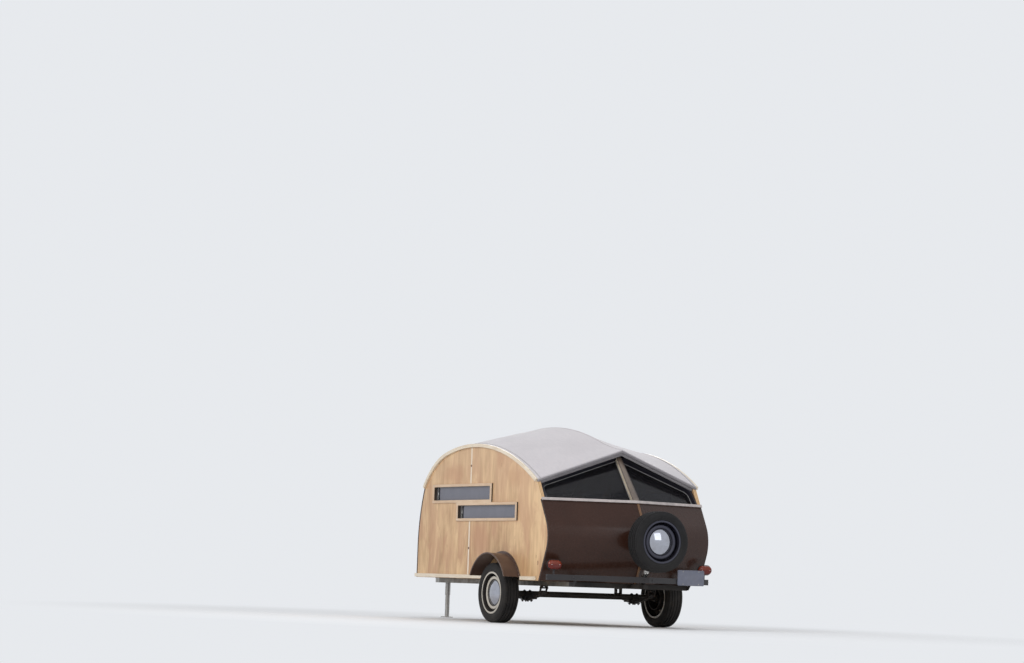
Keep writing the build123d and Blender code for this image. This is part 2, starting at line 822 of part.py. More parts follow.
# Leaf springs under the axle: three bent leaves with an eye at each end
bow_rise = eye_z - eye_r + leaf_t - spring_top
bow_r = (spring_half ** 2 + bow_rise ** 2) / (2 * bow_rise)
bow_z = spring_top + bow_r
with BuildPart() as leaf_springs:
    for side in (1, -1):
        with BuildSketch(side_plane(side * rail_y + spring_w / 2)):
            for i, reach in enumerate((spring_half, 0.7 * spring_half, 0.4 * spring_half)):
                with BuildLine():
                    turn = math.degrees(math.asin(reach / bow_r))
                    ends = []
                    for r in (bow_r + i * leaf_t, bow_r + (i + 1) * leaf_t):
                        low = [on_circle(axle_x, bow_z, r, 180 + t) for t in (-turn, 0, turn)]
                        ThreePointArc(*low)
                        ends.append(low)
                    Line(ends[0][0], ends[1][0])
                    Line(ends[0][2], ends[1][2])
                make_face()
            with Locations(at(-spring_half, eye_z), at(spring_half, eye_z)):
                Circle(eye_r)
            with Locations(at(-spring_half, eye_z), at(spring_half, eye_z)):
                Circle(pin_r, mode=Mode.SUBTRACT)
        extrude(amount=spring_w)

# Front hangers, rear shackles on short brackets, saddles, clamp plates and bent bolts
with BuildPart() as spring_mounts:
    rail_low = rail_top - rail_h
    shackle_x = -spring_half - (shackle_z - eye_z) * math.tan(math.radians(shackle_lean))
    for side in (1, -1):
        for x, pin_z, low in ((spring_half, eye_z, eye_z - eye_r), (shackle_x, shackle_z, shackle_z - pin_r)):
            for y in (spring_w / 2, -spring_w / 2 - hanger_t):
                with Locations((axle_x + x, side * rail_y + y, low)):
                    Box(hanger_w, hanger_t, rail_low - low, align=(Align.CENTER, Align.MIN, Align.MIN))
            with Locations((axle_x + x, side * rail_y, rail_low)):
                Box(hanger_w, spring_w, hanger_t, align=(Align.CENTER, Align.CENTER, Align.MAX))
            with BuildSketch(side_plane(side * rail_y + spring_w / 2 + 2 * hanger_t)):
                with Locations(at(x, pin_z)):
                    Circle(pin_r)
            extrude(amount=spring_w + 4 * hanger_t)
        for y in (spring_w / 2 + 2 * hanger_t, -spring_w / 2 - hanger_t):
            with BuildSketch(side_plane(side * rail_y + y)):
                with Locations(at((shackle_x - spring_half) / 2, (shackle_z + eye_z) / 2)):
                    SlotCenterToCenter(math.hypot(shackle_x + spring_half, shackle_z - eye_z), shackle_w,
                                       rotation=90 + shackle_lean)
            extrude(amount=hanger_t)
        with BuildSketch(side_plane(side * rail_y + spring_w / 2 + 2 * hanger_t)):
            with Locations(at(-spring_half, eye_z)):
                Circle(pin_r)
        extrude(amount=spring_w + 4 * hanger_t)
        with Locations((axle_x, side * rail_y, spring_top - leaf_t + 1)):
            Box(80, spring_w - 4, tyre_r - spring_top + leaf_t - 14,
                align=(Align.CENTER, Align.CENTER, Align.MIN))
        with Locations((axle_x, side * rail_y, spring_top - 3 * leaf_t)):
            Box(104, spring_w + 34, 10, align=(Align.CENTER, Align.CENTER, Align.MAX))
    add(axle_beam.part, mode=Mode.SUBTRACT)
    add(leaf_springs.part, mode=Mode.SUBTRACT)
    leg = axle_tube_r + bolt_r + fit_gap
    foot = spring_top - 3 * leaf_t - 22
    for y in (rail_y + bolt_y, rail_y - bolt_y, -rail_y + bolt_y, -rail_y - bolt_y):
        with BuildLine(side_plane(y)) as bolt_path:
            Line(at(-leg, foot), at(-leg, tyre_r))
            ThreePointArc(at(-leg, tyre_r), at(0, tyre_r + leg), at(leg, tyre_r))
            Line(at(leg, tyre_r), at(leg, foot))
        with BuildSketch(Plane(origin=(axle_x - leg, y, foot), z_dir=(0, 0, 1))):
            Circle(bolt_r)
        sweep(path=bolt_path.line)


def bumper_band(depth):
    """Vee in plan between the bumper's face and a depth square to it."""
    shift = depth * math.hypot(1, bumper_slope)
    outer = [(bumper_corner_x, bumper_hw), (bumper_seam_x, 0), (bumper_corner_x, -bumper_hw)]
    inner = [(x + shift, y) for x, y in outer[::-1]]
    with BuildLine() as line:
        Polyline(*[(axle_x + x, y) for x, y in outer + inner], close=True)
    return make_face(line.line)


# Bumper: a folded channel, vee-shaped in plan, with the brackets of chassis, lamps and number plate
with BuildPart() as bumper:
    for low, high, depth in ((bumper_low, bumper_high, bumper_t),
                             (bumper_low, bumper_low + bumper_t, bumper_lip),
                             (bumper_high - bumper_t, bumper_high, bumper_lip)):
        with BuildSketch(Plane.XY.offset(low)):
            add(bumper_band(depth))
        extrude(amount=high - low)
    for side in (1, -1):
        with BuildSketch(side_plane(side * bumper_hw)):
            with Locations(at(bumper_corner_x, bumper_low)):
                Rectangle(bumper_lip, bumper_high - bumper_low, align=(Align.MIN, Align.MIN))
        extrude(amount=side * bumper_t)
        with BuildSketch(side_plane(side * bracket_y)):
            with BuildLine():
                Polyline(*[at(bracket_x + x, z) for x, z in (
                    (6, bumper_high - 8), (66, bumper_high - 8), (66, rail_top - 2), (150, rail_top - 2),
                    (150, rail_top - rail_h + 4), (60, rail_top - rail_h + 4), (6, bumper_low + 4))],
                    close=True)
            make_face()
        extrude(amount=-side * bracket_t)
        with Locations((axle_x + lamp_back_x - stud_r + 1, side * lamp_y, bumper_high - bumper_t)):
            Cylinder(stud_r, lamp_z - lamp_h / 2 - bumper_high + bumper_t,
                     align=(Align.CENTER, Align.CENTER, Align.MIN))
        with BuildSketch(Plane(origin=(axle_x + lamp_back_x, side * lamp_y, lamp_z), x_dir=(0, 1, 0),
                               z_dir=(1, 0, 0))):
            SlotOverall(lamp_w - lamp_depth, lamp_h - lamp_depth)
            with Locations((0, -lamp_h / 2)):
                Rectangle(3 * stud_r, lamp_h)
        extrude(amount=bumper_t)
    for y in (plate_y + plate_w / 2 - 30, plate_y - plate_w / 2 + 30):
        face_x = bumper_seam_x - bumper_slope * y + 2
        with Locations((axle_x + plate_x, y, (bumper_low + bumper_high) / 2)):
            Box(face_x - plate_x, 6, 30, align=(Align.MIN, Align.CENTER, Align.CENTER))

# Tail lamps: an oval lens with a round edge on a flat back
with BuildPart() as tail_lamps:
    for side in (1, -1):
        with BuildSketch(Plane(origin=(axle_x + lamp_back_x, side * lamp_y, lamp_z),
                               x_dir=(0, 1, 0), z_dir=(-1, 0, 0))):
            SlotOverall(lamp_w, lamp_h)
        extrude(amount=lamp_depth)
    rims = [e for e in tail_lamps.edges() if e.center().X < axle_x + lamp_back_x - lamp_depth + 1]
    fillet(rims, radius=lamp_depth * 0.6)

# Number plate, blank
with BuildPart() as licence_plate:
    with BuildSketch(Plane(origin=(axle_x + plate_x, plate_y, plate_z), x_dir=(0, 1, 0),
                           z_dir=(-1, 0, 0))):
        RectangleRounded(plate_w, plate_h, 12)
    extrude(amount=plate_t)

# Spare wheel carrier: an arm under the floor, a post raked like the stern and a boss into the wheel
with BuildPart() as spare_carrier:
    arm_z = rail_top - rail_h / 2
    post_lean = math.tan(math.radians(stern_low_lean))
    post_top = spare_z + boss_r - 8
    hub_x = post_x - post_lean * (spare_z - bumper_high)
    with BuildSketch(side_plane(post_w / 2)):
        with BuildLine():
            half = post_t / 2 / math.cos(math.radians(stern_low_lean))
            ends = [(post_x - post_lean * (z - bumper_high), z) for z in (arm_z - rail_h / 2 + 3, post_top)]
            Polyline(*[at(x + half, z) for x, z in ends], *[at(x - half, z) for x, z in ends[::-1]],
                     close=True)
        make_face()
    extrude(amount=post_w)
    with Locations((axle_x + rail_rear, 0, arm_z)):
        Box(rail_rear - post_x + post_t, post_w, rail_h - 6, align=(Align.MAX, Align.CENTER, Align.CENTER))
    with BuildSketch(Plane(origin=(axle_x + hub_x, 0, spare_z), x_dir=(0, 1, 0), z_dir=(-1, 0, 0))):
        Circle(boss_r)
    extrude(amount=hub_x - spare_x + disc_in)


def wheel_plane(centre_x, centre_y, centre_z, outward):
    """Plane through the wheel's axis: its x runs along the axis outwards, its y is a radius."""
    return Plane(origin=(centre_x, centre_y, centre_z), x_dir=outward,
                 z_dir=Vector(outward).cross(Vector(0, 0, 1)))


def wheel_solids(centre, outward):
    """Tyre, pressed wheel and domed cap about one axis."""
    plane = wheel_plane(*centre, outward)
    axis = Axis(centre, outward)
    solids = []
    half = rim_w / 2
    with BuildPart() as tyre:
        with BuildSketch(plane):
            with BuildLine():
                lip = half - 8
                bead_r = rim_flange_r + 2
                sidewall = (tyre_r + bead_r) / 2 - 2
                Polyline((-lip, bead_r), (-lip, rim_seat_r), (lip, rim_seat_r), (lip, bead_r))
                ThreePointArc((lip, bead_r), (tyre_w / 2, sidewall), (tread_w / 2 + 4, tyre_r - 12))
                ThreePointArc((tread_w / 2 + 4, tyre_r - 12), (tread_w / 2 - 2, tyre_r - 4),
                              (tread_w / 2 - 12, tyre_r - 1))
                ThreePointArc((tread_w / 2 - 12, tyre_r - 1), (0, tyre_r), (12 - tread_w / 2, tyre_r - 1))
                ThreePointArc((12 - tread_w / 2, tyre_r - 1), (2 - tread_w / 2, tyre_r - 4),
                              (-tread_w / 2 - 4, tyre_r - 12))
                ThreePointArc((-tread_w / 2 - 4, tyre_r - 12), (-tyre_w / 2, sidewall), (-lip, bead_r))
            make_face()
        revolve(axis=axis)
    solids.append(tyre.part)
    with BuildPart() as wheel:
        with BuildSketch(plane):
            with BuildLine():
                barrel_r = rim_seat_r - rim_t
                seat_x = disc_in + cap_seat
                Polyline((-half, rim_flange_r), (-half, barrel_r), (disc_in - 2, barrel_r),
                         (disc_in + 16, crown_r + 18), (disc_in + crown_out - 8, crown_r + 4),
                         (disc_in + crown_out - 8, crown_r - 6), (seat_x - rim_t, crown_r - 22),
                         (seat_x - rim_t, hub_r - 18), (disc_in, hub_r - 44), (disc_in, hub_bore_r),
                         (disc_in + rim_t, hub_bore_r), (disc_in + rim_t, hub_r - 47),
                         (seat_x, hub_r - 20), (seat_x, crown_r - 19))
                ThreePointArc((seat_x, crown_r - 19), (disc_in + crown_out, crown_r + 1),
                              (disc_in + 22, crown_r + 22))
                Polyline((disc_in + 22, crown_r + 22), (disc_in + 8, barrel_r), (half, barrel_r),
                         (half, rim_flange_r), (half - 6, rim_flange_r), (half - 8, rim_seat_r),
                         (8 - half, rim_seat_r), (6 - half, rim_flange_r), (-half, rim_flange_r))
            make_face()
        revolve(axis=axis)
    solids.append(wheel.part)
    with BuildPart() as cap:
        with BuildSketch(plane):
            with BuildLine():
                base = disc_in + cap_seat
                Polyline((base, 0), (base, cap_r), (base + 4, cap_r))
                rise = cap_dome - 4
                ball = (cap_r ** 2 + rise ** 2) / (2 * rise)
                half = math.asin(cap_r / ball) / 2
                mid = (base + cap_dome - ball + ball * math.cos(half), ball * math.sin(half))
                ThreePointArc((base + 4, cap_r), mid, (base + cap_dome, 0))
                Line((base + cap_dome, 0), (base, 0))
            make_face()
        revolve(axis=axis)
    solids.append(cap.part)
    return solids


# Road wheels and the spare
wheel_centre = (axle_x, wheel_y, tyre_r)
with BuildPart() as tyre_left:
    add(wheel_solids(wheel_centre, (0, 1, 0))[0])
with BuildPart() as wheel_left:
    add(wheel_solids(wheel_centre, (0, 1, 0))[1])
with BuildPart() as cap_left:
    add(wheel_solids(wheel_centre, (0, 1, 0))[2])
spare_centre = (axle_x + spare_x, 0, spare_z)
with BuildPart() as spare_tyre:
    add(wheel_solids(spare_centre, (-1, 0, 0))[0])
with BuildPart() as spare_wheel:
    add(wheel_solids(spare_centre, (-1, 0, 0))[1])
with BuildPart() as spare_cap:
    add(wheel_solids(spare_centre, (-1, 0, 0))[2])

# Hub with its drum, which turns on the spindle
with BuildPart() as hub_left:
    with BuildSketch(wheel_plane(*wheel_centre, (0, 1, 0))):
        with BuildLine():
            Polyline((-hub_depth, hub_r), (disc_in - 6, hub_r), (disc_in, hub_r - 6), (disc_in, hub_bore_r),
                     (disc_in + 30, hub_bore_r), (disc_in + 30, spindle_r + running_gap),
                     (-hub_depth, spindle_r + running_gap), (-hub_depth, 40), (disc_in - 8, 44),
                     (disc_in - 8, hub_r - 8), (-hub_depth, hub_r - 8), close=True)
        make_face()
    revolve(axis=Axis(wheel_centre, (0, 1, 0)))

# Door, flush with the wall, with its own window
rear, front, foot, head = door_win
door_centre, door_width, door_height = window_rect(rear, front, foot, head)
with BuildPart() as door_panel:
    extrude(door_sketch(door_gap), amount=wall_t, dir=(0, 1, 0))
    with BuildSketch(side_plane(-body_hw)):
        with Locations(door_centre):
            Rectangle(door_width, door_height)
    extrude(amount=-wall_t, mode=Mode.SUBTRACT)

with BuildPart() as door_window_frame:
    with BuildSketch(side_plane(-body_hw - win_proud)):
        with Locations(door_centre):
            Rectangle(door_width, door_height)
            Rectangle(door_width - 2 * win_stile, door_height - 2 * win_rail, mode=Mode.SUBTRACT)
    extrude(amount=-wall_t - win_proud)

with BuildPart() as door_glass:
    with BuildSketch(side_plane(-body_hw + pane_inset)):
        with Locations(door_centre):
            Rectangle(door_width - 2 * win_stile, door_height - 2 * win_rail)
    extrude(amount=-pane_t)

with BuildPart() as door_handle:
    with BuildSketch(side_plane(-body_hw)):
        with Locations(at(door_rear + 52, handle_z)):
            RectangleRounded(34, 120, 12)
    extrude(amount=6)
    with BuildSketch(side_plane(-body_hw - 6)):
        with Locations(at(door_rear + 52, handle_z + 20)):
            Circle(11)
    extrude(amount=18)
    with BuildSketch(side_plane(-body_hw - 24)):
        with Locations(at(door_rear + 86, handle_z + 20)):
            SlotOverall(104, 24)
    extrude(amount=12)

# Hinges: knuckles on one pin, the middle one on the wall and the outer two on the door
hinge_x = door_front - door_gap / 2
hinge_y = -body_hw - hinge_out
third = hinge_len / 3


def knuckle(z_low, z_high, way):
    """One knuckle with its leaf flat on the panel, the leaf reaching forward (1) or back (-1)."""
    tall = z_high - z_low
    reach = Align.MIN if way > 0 else Align.MAX
    with Locations((axle_x + hinge_x, hinge_y, z_low)):
        Cylinder(hinge_r, tall, align=(Align.CENTER, Align.CENTER, Align.MIN))
    with Locations((axle_x + hinge_x, -body_hw, z_low)):
        Box(hinge_leaf_w, hinge_leaf_t, tall, align=(reach, Align.MAX, Align.MIN))
        Box(hinge_r, hinge_out, tall, align=(reach, Align.MAX, Align.MIN))


with BuildPart() as hinge_leaves:
    for z in hinge_heights:
        knuckle(z - third / 2 + fit_gap, z + third / 2 - fit_gap, 1)
        with Locations((axle_x + hinge_x, hinge_y, z)):
            Cylinder(hinge_pin_r, hinge_len + 4)

with BuildPart() as door_hinges:
    for z in hinge_heights:
        for low, high in ((z - hinge_len / 2, z - third / 2 - fit_gap),
                          (z + third / 2 + fit_gap, z + hinge_len / 2)):
            knuckle(low, high, -1)
        with Locations((axle_x + hinge_x, hinge_y, z)):
            Cylinder(hinge_pin_r + fit_gap, hinge_len + 4, mode=Mode.SUBTRACT)

# Inside: a mattress behind and a galley box in the prow
with BuildPart() as mattress:
    with Locations((axle_x + bed_x[0], 0, floor_top + fit_gap)):
        Box(bed_x[1] - bed_x[0], bed_w, bed_t, align=(Align.MIN, Align.CENTER, Align.MIN))
    fillet(mattress.edges().filter_by(Axis.Z), radius=bed_corner_r)

with BuildPart() as cabinet:
    depth = cabinet_x[1] - cabinet_x[0]
    bay_w = (cabinet_w - board_t) / 3 - board_t
    with Locations((axle_x + cabinet_x[0], 0, floor_top)):
        Box(depth, cabinet_w, cabinet_h, align=(Align.MIN, Align.CENTER, Align.MIN))
    for i in (-1, 0, 1):
        with Locations((axle_x + cabinet_x[0], i * (bay_w + board_t), floor_top + board_t)):
            Box(depth - board_t, bay_w, cabinet_h - 2 * board_t, align=(Align.MIN, Align.CENTER, Align.MIN),
                mode=Mode.SUBTRACT)
    with Locations((axle_x + cabinet_x[0] - worktop_over, 0, floor_top + cabinet_h)):
        Box(depth + worktop_over, cabinet_w, worktop_t, align=(Align.MIN, Align.CENTER, Align.MIN))

with BuildPart() as tyre_right:
    mirror(tyre_left.part, about=Plane.XZ)
with BuildPart() as wheel_right:
    mirror(wheel_left.part, about=Plane.XZ)
with BuildPart() as cap_right:
    mirror(cap_left.part, about=Plane.XZ)
with BuildPart() as hub_right:
    mirror(hub_left.part, about=Plane.XZ)

pieces = {
    "roof_cover": roof_cover, "roof_frame": roof_frame, "side_wall_left": side_wall_left,
    "side_wall_right": side_wall_right, "front_panels": front_panels, "rear_panels": rear_panels,
    "gable_frame": gable_frame, "trim_strips": trim_strips, "edge_mouldings": edge_mouldings,
    "floor_pan": floor_pan, "window_frames": window_frames, "fixed_glass": fixed_glass,
    "mudguards": mudguards, "chassis_frame": chassis_frame, "drawbar": drawbar, "coupler": coupler,
    "jack_tube": jack_tube, "jack_crank": jack_crank, "jack_leg": jack_leg, "axle_beam": axle_beam,
    "leaf_springs": leaf_springs, "spring_mounts": spring_mounts, "bumper": bumper,
    "tail_lamps": tail_lamps, "licence_plate": licence_plate, "spare_carrier": spare_carrier,
    "spare_tyre": spare_tyre, "spare_wheel": spare_wheel, "spare_cap": spare_cap,
    "tyre_left": tyre_left, "wheel_left": wheel_left, "cap_left": cap_left, "hub_left": hub_left,
    "tyre_right": tyre_right, "wheel_right": wheel_right, "cap_right": cap_right,
    "hub_right": hub_right, "door_panel": door_panel, "door_window_frame": door_window_frame,
    "door_glass": door_glass, "door_handle": door_handle, "door_hinges": door_hinges,
    "hinge_leaves": hinge_leaves, "mattress": mattress, "cabinet": cabinet,
}
for name, piece in pieces.items():
    piece.part.label = name
    export_step(piece.part, f"parts/{name}.step")
    print(name, [round(t.volume / 1e6, 3) for t in piece.part.solids()], piece.part.is_valid)
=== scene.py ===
import math

import bpy
from mathutils import Matrix, Vector, noise
from mathutils.bvhtree import BVHTree


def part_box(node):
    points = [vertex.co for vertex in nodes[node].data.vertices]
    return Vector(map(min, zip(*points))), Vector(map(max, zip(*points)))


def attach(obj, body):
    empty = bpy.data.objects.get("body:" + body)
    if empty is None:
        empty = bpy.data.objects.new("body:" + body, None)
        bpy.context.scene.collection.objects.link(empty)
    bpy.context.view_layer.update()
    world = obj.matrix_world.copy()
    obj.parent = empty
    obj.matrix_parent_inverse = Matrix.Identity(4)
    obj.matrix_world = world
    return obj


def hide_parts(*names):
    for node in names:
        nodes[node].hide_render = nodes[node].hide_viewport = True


# Teardrop trailer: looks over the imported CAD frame. Metres, +X to the coupler, +Z up, x below from the axle

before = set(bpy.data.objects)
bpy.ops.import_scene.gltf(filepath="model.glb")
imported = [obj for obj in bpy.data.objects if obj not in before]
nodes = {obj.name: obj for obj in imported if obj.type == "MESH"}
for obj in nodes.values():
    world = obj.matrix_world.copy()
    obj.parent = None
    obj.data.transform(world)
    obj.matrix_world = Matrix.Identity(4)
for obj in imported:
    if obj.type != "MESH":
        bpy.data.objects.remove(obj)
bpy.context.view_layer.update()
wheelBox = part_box("wheel_left")
axleX = (wheelBox[0].x + wheelBox[1].x) / 2
hubZ = (wheelBox[0].z + wheelBox[1].z) / 2
print("frame loaded:", len(nodes), "nodes, axle at", round(axleX, 4))


# camera, floor and light

viewpoint = {"place": (-27.20449, 14.71006, 0.38633), "yaw": -27.69871, "pitch": 4.86424, "roll": -1.95137,
             "focalPixels": 2968.39, "frameWidth": 1024, "sensor": 36}
studio = {"skyLight": 0.56, "skyTint": (0.97, 0.985, 1.0), "backdrop": (0.80, 0.82, 0.85),
          "floorColour": (0.82, 0.83, 0.85), "floorReach": 300, "floorDrop": 0.0003, "shadowReach": (2.0, 5.5),
          "aim": (0.3, 0, 0.9)}
lampTable = [  # name, where it stands, size, watts, tint
    ("keyBox", (-3.5, 9.5, 6.2), 5.0, 500, (1.0, 0.98, 0.955)),
    ("sternBox", (-9.5, -1.5, 4.6), 5.0, 130, (0.95, 0.97, 1.0)),
    ("topBox", (0.5, -1.0, 9.0), 6.0, 130, (0.97, 0.98, 1.0)),
    ("noseBox", (9.0, -5.0, 5.0), 5.0, 150, (1.0, 1.0, 1.0)),
]


def lookAxes(yaw, pitch, roll):
    yaw, pitch, roll = math.radians(yaw), math.radians(pitch), math.radians(roll)
    ahead = Vector((math.cos(yaw) * math.cos(pitch), math.sin(yaw) * math.cos(pitch), math.sin(pitch)))
    side = ahead.cross(Vector((0, 0, 1))).normalized()
    down = ahead.cross(side)
    right = math.cos(roll) * side + math.sin(roll) * down
    return right, math.sin(roll) * side - math.cos(roll) * down, -ahead


def makeCamera():
    data = bpy.data.cameras.new("photoCamera")
    data.sensor_width = viewpoint["sensor"]
    data.lens = viewpoint["focalPixels"] * viewpoint["sensor"] / viewpoint["frameWidth"]
    data.clip_start, data.clip_end = 0.1, 900
    camera = bpy.data.objects.new("photoCamera", data)
    bpy.context.scene.collection.objects.link(camera)
    axes = lookAxes(viewpoint["yaw"], viewpoint["pitch"], viewpoint["roll"])
    camera.matrix_world = Matrix.Translation(viewpoint["place"]) @ Matrix(axes).transposed().to_4x4()
    bpy.context.scene.camera = camera


def makeStudio():
    scene = bpy.context.scene
    scene.view_settings.view_transform = "Standard"
    world = bpy.data.worlds.new("studioWorld")
    scene.world = world
    world.use_nodes = True
    tree = world.node_tree
    tree.nodes.clear()
    lit, seen = (newNode(tree, "Background") for part in range(2))
    lit.inputs["Color"].default_value = (*studio["skyTint"], 1)
    lit.inputs["Strength"].default_value = studio["skyLight"]
    seen.inputs["Color"].default_value = (*studio["backdrop"], 1)
    out = newNode(tree, "OutputWorld")
    link(tree, mixShaders(tree, watchedRays(tree), lit.outputs[0], seen.outputs[0]), out.inputs["Surface"])
    for name, place, size, watts, tint in lampTable:
        data = bpy.data.lights.new(name, "AREA")
        data.size, data.energy, data.color = size, watts, tint
        lamp = bpy.data.objects.new(name, data)
        lamp.location = (axleX + place[0], place[1], place[2])
        aim = Vector((axleX, 0, 0)) + Vector(studio["aim"]) - lamp.location
        lamp.rotation_euler = aim.to_track_quat("-Z", "Y").to_euler()
        scene.collection.objects.link(lamp)


# node helpers and the shared effect groups


def newNode(tree, kind, **settings):
    node = tree.nodes.new("ShaderNode" + kind)
    for label, value in settings.items():
        setattr(node, label, value)
    return node


def link(tree, source, target):
    tree.links.new(source, target)


def feed(tree, socket, value):
    if isinstance(value, (int, float)):
        socket.default_value = value
    elif isinstance(value, tuple):
        socket.default_value = (*value, 1) if len(value) == 3 and socket.type == "RGBA" else value
    else:
        tree.links.new(value, socket)


def math2(tree, operation, a, b=0.0, clamp=False):
    node = newNode(tree, "Math", operation=operation, use_clamp=clamp)
    feed(tree, node.inputs[0], a)
    feed(tree, node.inputs[1], b)
    return node.outputs[0]


def times(tree, a, b, clamp=False):
    return math2(tree, "MULTIPLY", a, b, clamp)


def plus(tree, a, b, clamp=False):
    return math2(tree, "ADD", a, b, clamp)


def zigzag(tree, value, rate):  # 0 to 1 and back, rate times a metre
    return math2(tree, "PINGPONG", times(tree, value, rate), 1.0)


def span(tree, value, low, high, start=0.0, end=1.0, smooth=False):
    node = newNode(tree, "MapRange", interpolation_type="SMOOTHSTEP" if smooth else "LINEAR")
    feed(tree, node.inputs["Value"], value)
    for label, amount in (("From Min", low), ("From Max", high), ("To Min", start), ("To Max", end)):
        feed(tree, node.inputs[label], amount)
    return node.outputs["Result"]


def blendColour(tree, mask, first, second, way="MIX"):
    node = newNode(tree, "Mix", data_type="RGBA", blend_type=way)
    feed(tree, node.inputs["Factor"], mask)
    feed(tree, node.inputs[6], first)
    feed(tree, node.inputs[7], second)
    return node.outputs[2]


def vectorMath(tree, operation, first, second):
    node = newNode(tree, "VectorMath", operation=operation)
    feed(tree, node.inputs[0], first)
    feed(tree, node.inputs["Scale" if operation == "SCALE" else 1], second)
    return node.outputs[0]


def stretched(tree, vector, scale):
    return vectorMath(tree, "MULTIPLY", vector, scale)


def distance(tree, vector, centre, scale):  # from a centre, with each axis scaled
    node = newNode(tree, "VectorMath", operation="LENGTH")
    feed(tree, node.inputs[0], stretched(tree, vectorMath(tree, "SUBTRACT", vector, centre), scale))
    return node.outputs["Value"]


def mixShaders(tree, share, first, second):
    node = newNode(tree, "MixShader")
    for place, source in enumerate((share, first, second)):
        link(tree, source, node.inputs[place])
    return node.outputs[0]


def watchedRays(tree):  # 1 on rays of the camera, of reflections and through glass
    rays = newNode(tree, "LightPath").outputs
    seen = math2(tree, "MAXIMUM", rays["Is Camera Ray"], rays["Is Glossy Ray"])
    return math2(tree, "MAXIMUM", seen, rays["Is Transmission Ray"])


def shaded(colour, share, lift=0.0):
    return tuple(min(1.0, c * share + lift) for c in colour)


def noiseOf(tree, vector, scale, detail=3.0, rough=0.5, distort=0.0):
    node = newNode(tree, "TexNoise")
    feed(tree, node.inputs["Vector"], vector)
    feed(tree, node.inputs["Scale"], scale)
    node.inputs["Detail"].default_value = detail
    node.inputs["Roughness"].default_value = rough
    node.inputs["Distortion"].default_value = distort
    return node.outputs["Fac"]


def axisOf(tree, vector, axis):
    node = newNode(tree, "SeparateXYZ")
    feed(tree, node.inputs[0], vector)
    return node.outputs["XYZ".index(axis)]


def objectPoint(tree):
    return newNode(tree, "TexCoord").outputs["Object"]


def newGroup(name, takes, gives):
    group = bpy.data.node_groups.new(name, "ShaderNodeTree")
    kinds = {"float": "NodeSocketFloat", "colour": "NodeSocketColor", "vector": "NodeSocketVector"}
    for label, kind, value in takes:
        socket = group.interface.new_socket(name=label, in_out="INPUT", socket_type=kinds[kind])
        if value is not None:
            socket.default_value = (*value, 1) if kind == "colour" else value
    for label, kind in gives:
        group.interface.new_socket(name=label, in_out="OUTPUT", socket_type=kinds[kind])
    return group, group.nodes.new("NodeGroupInput").outputs, group.nodes.new("NodeGroupOutput").inputs


def useGroup(tree, name, **values):
    node = newNode(tree, "Group", node_tree=bpy.data.node_groups[name])
    for label, value in values.items():
        feed(tree, node.inputs[label], value)
    return node.outputs


def buildEdgeWear():  # where a corner is rubbed: the bevelled normal differs from the flat one
    tree, given, out = newGroup("edgeWear", [("radius", "float", 0.003), ("amount", "float", 0.6),
                                             ("breakUp", "float", 40.0)], [("mask", "float"), ("normal", "vector")])
    rounded = newNode(tree, "Bevel", samples=4)
    feed(tree, rounded.inputs["Radius"], given["radius"])
    flat = newNode(tree, "NewGeometry")
    dot = newNode(tree, "VectorMath", operation="DOT_PRODUCT")
    feed(tree, dot.inputs[0], rounded.outputs[0])
    feed(tree, dot.inputs[1], flat.outputs["Normal"])
    turned = span(tree, math2(tree, "SUBTRACT", 1.0, dot.outputs["Value"]), 0.02, 0.28)
    patchy = span(tree, noiseOf(tree, objectPoint(tree), given["breakUp"], 5, 0.65), 0.38, 0.62)
    link(tree, times(tree, times(tree, turned, patchy), given["amount"], True), out["mask"])
    link(tree, rounded.outputs[0], out["normal"])


def buildRoadDust():  # pale dust that thins out upwards, more in drifts
    tree, given, out = newGroup("roadDust", [("reach", "float", 0.7), ("amount", "float", 0.3)], [("mask", "float")])
    point = objectPoint(tree)
    low = span(tree, axisOf(tree, point, "Z"), 0.05, given["reach"], 1.0, 0.0)
    cloud = noiseOf(tree, stretched(tree, point, (3.0, 3.0, 5.0)), 1.0, 6, 0.62)
    speck = noiseOf(tree, point, 90.0, 2, 0.6)
    drift = times(tree, span(tree, cloud, 0.32, 0.72), span(tree, speck, 0.3, 0.7, 0.6, 1.0))
    link(tree, times(tree, times(tree, low, drift), given["amount"], True), out["mask"])


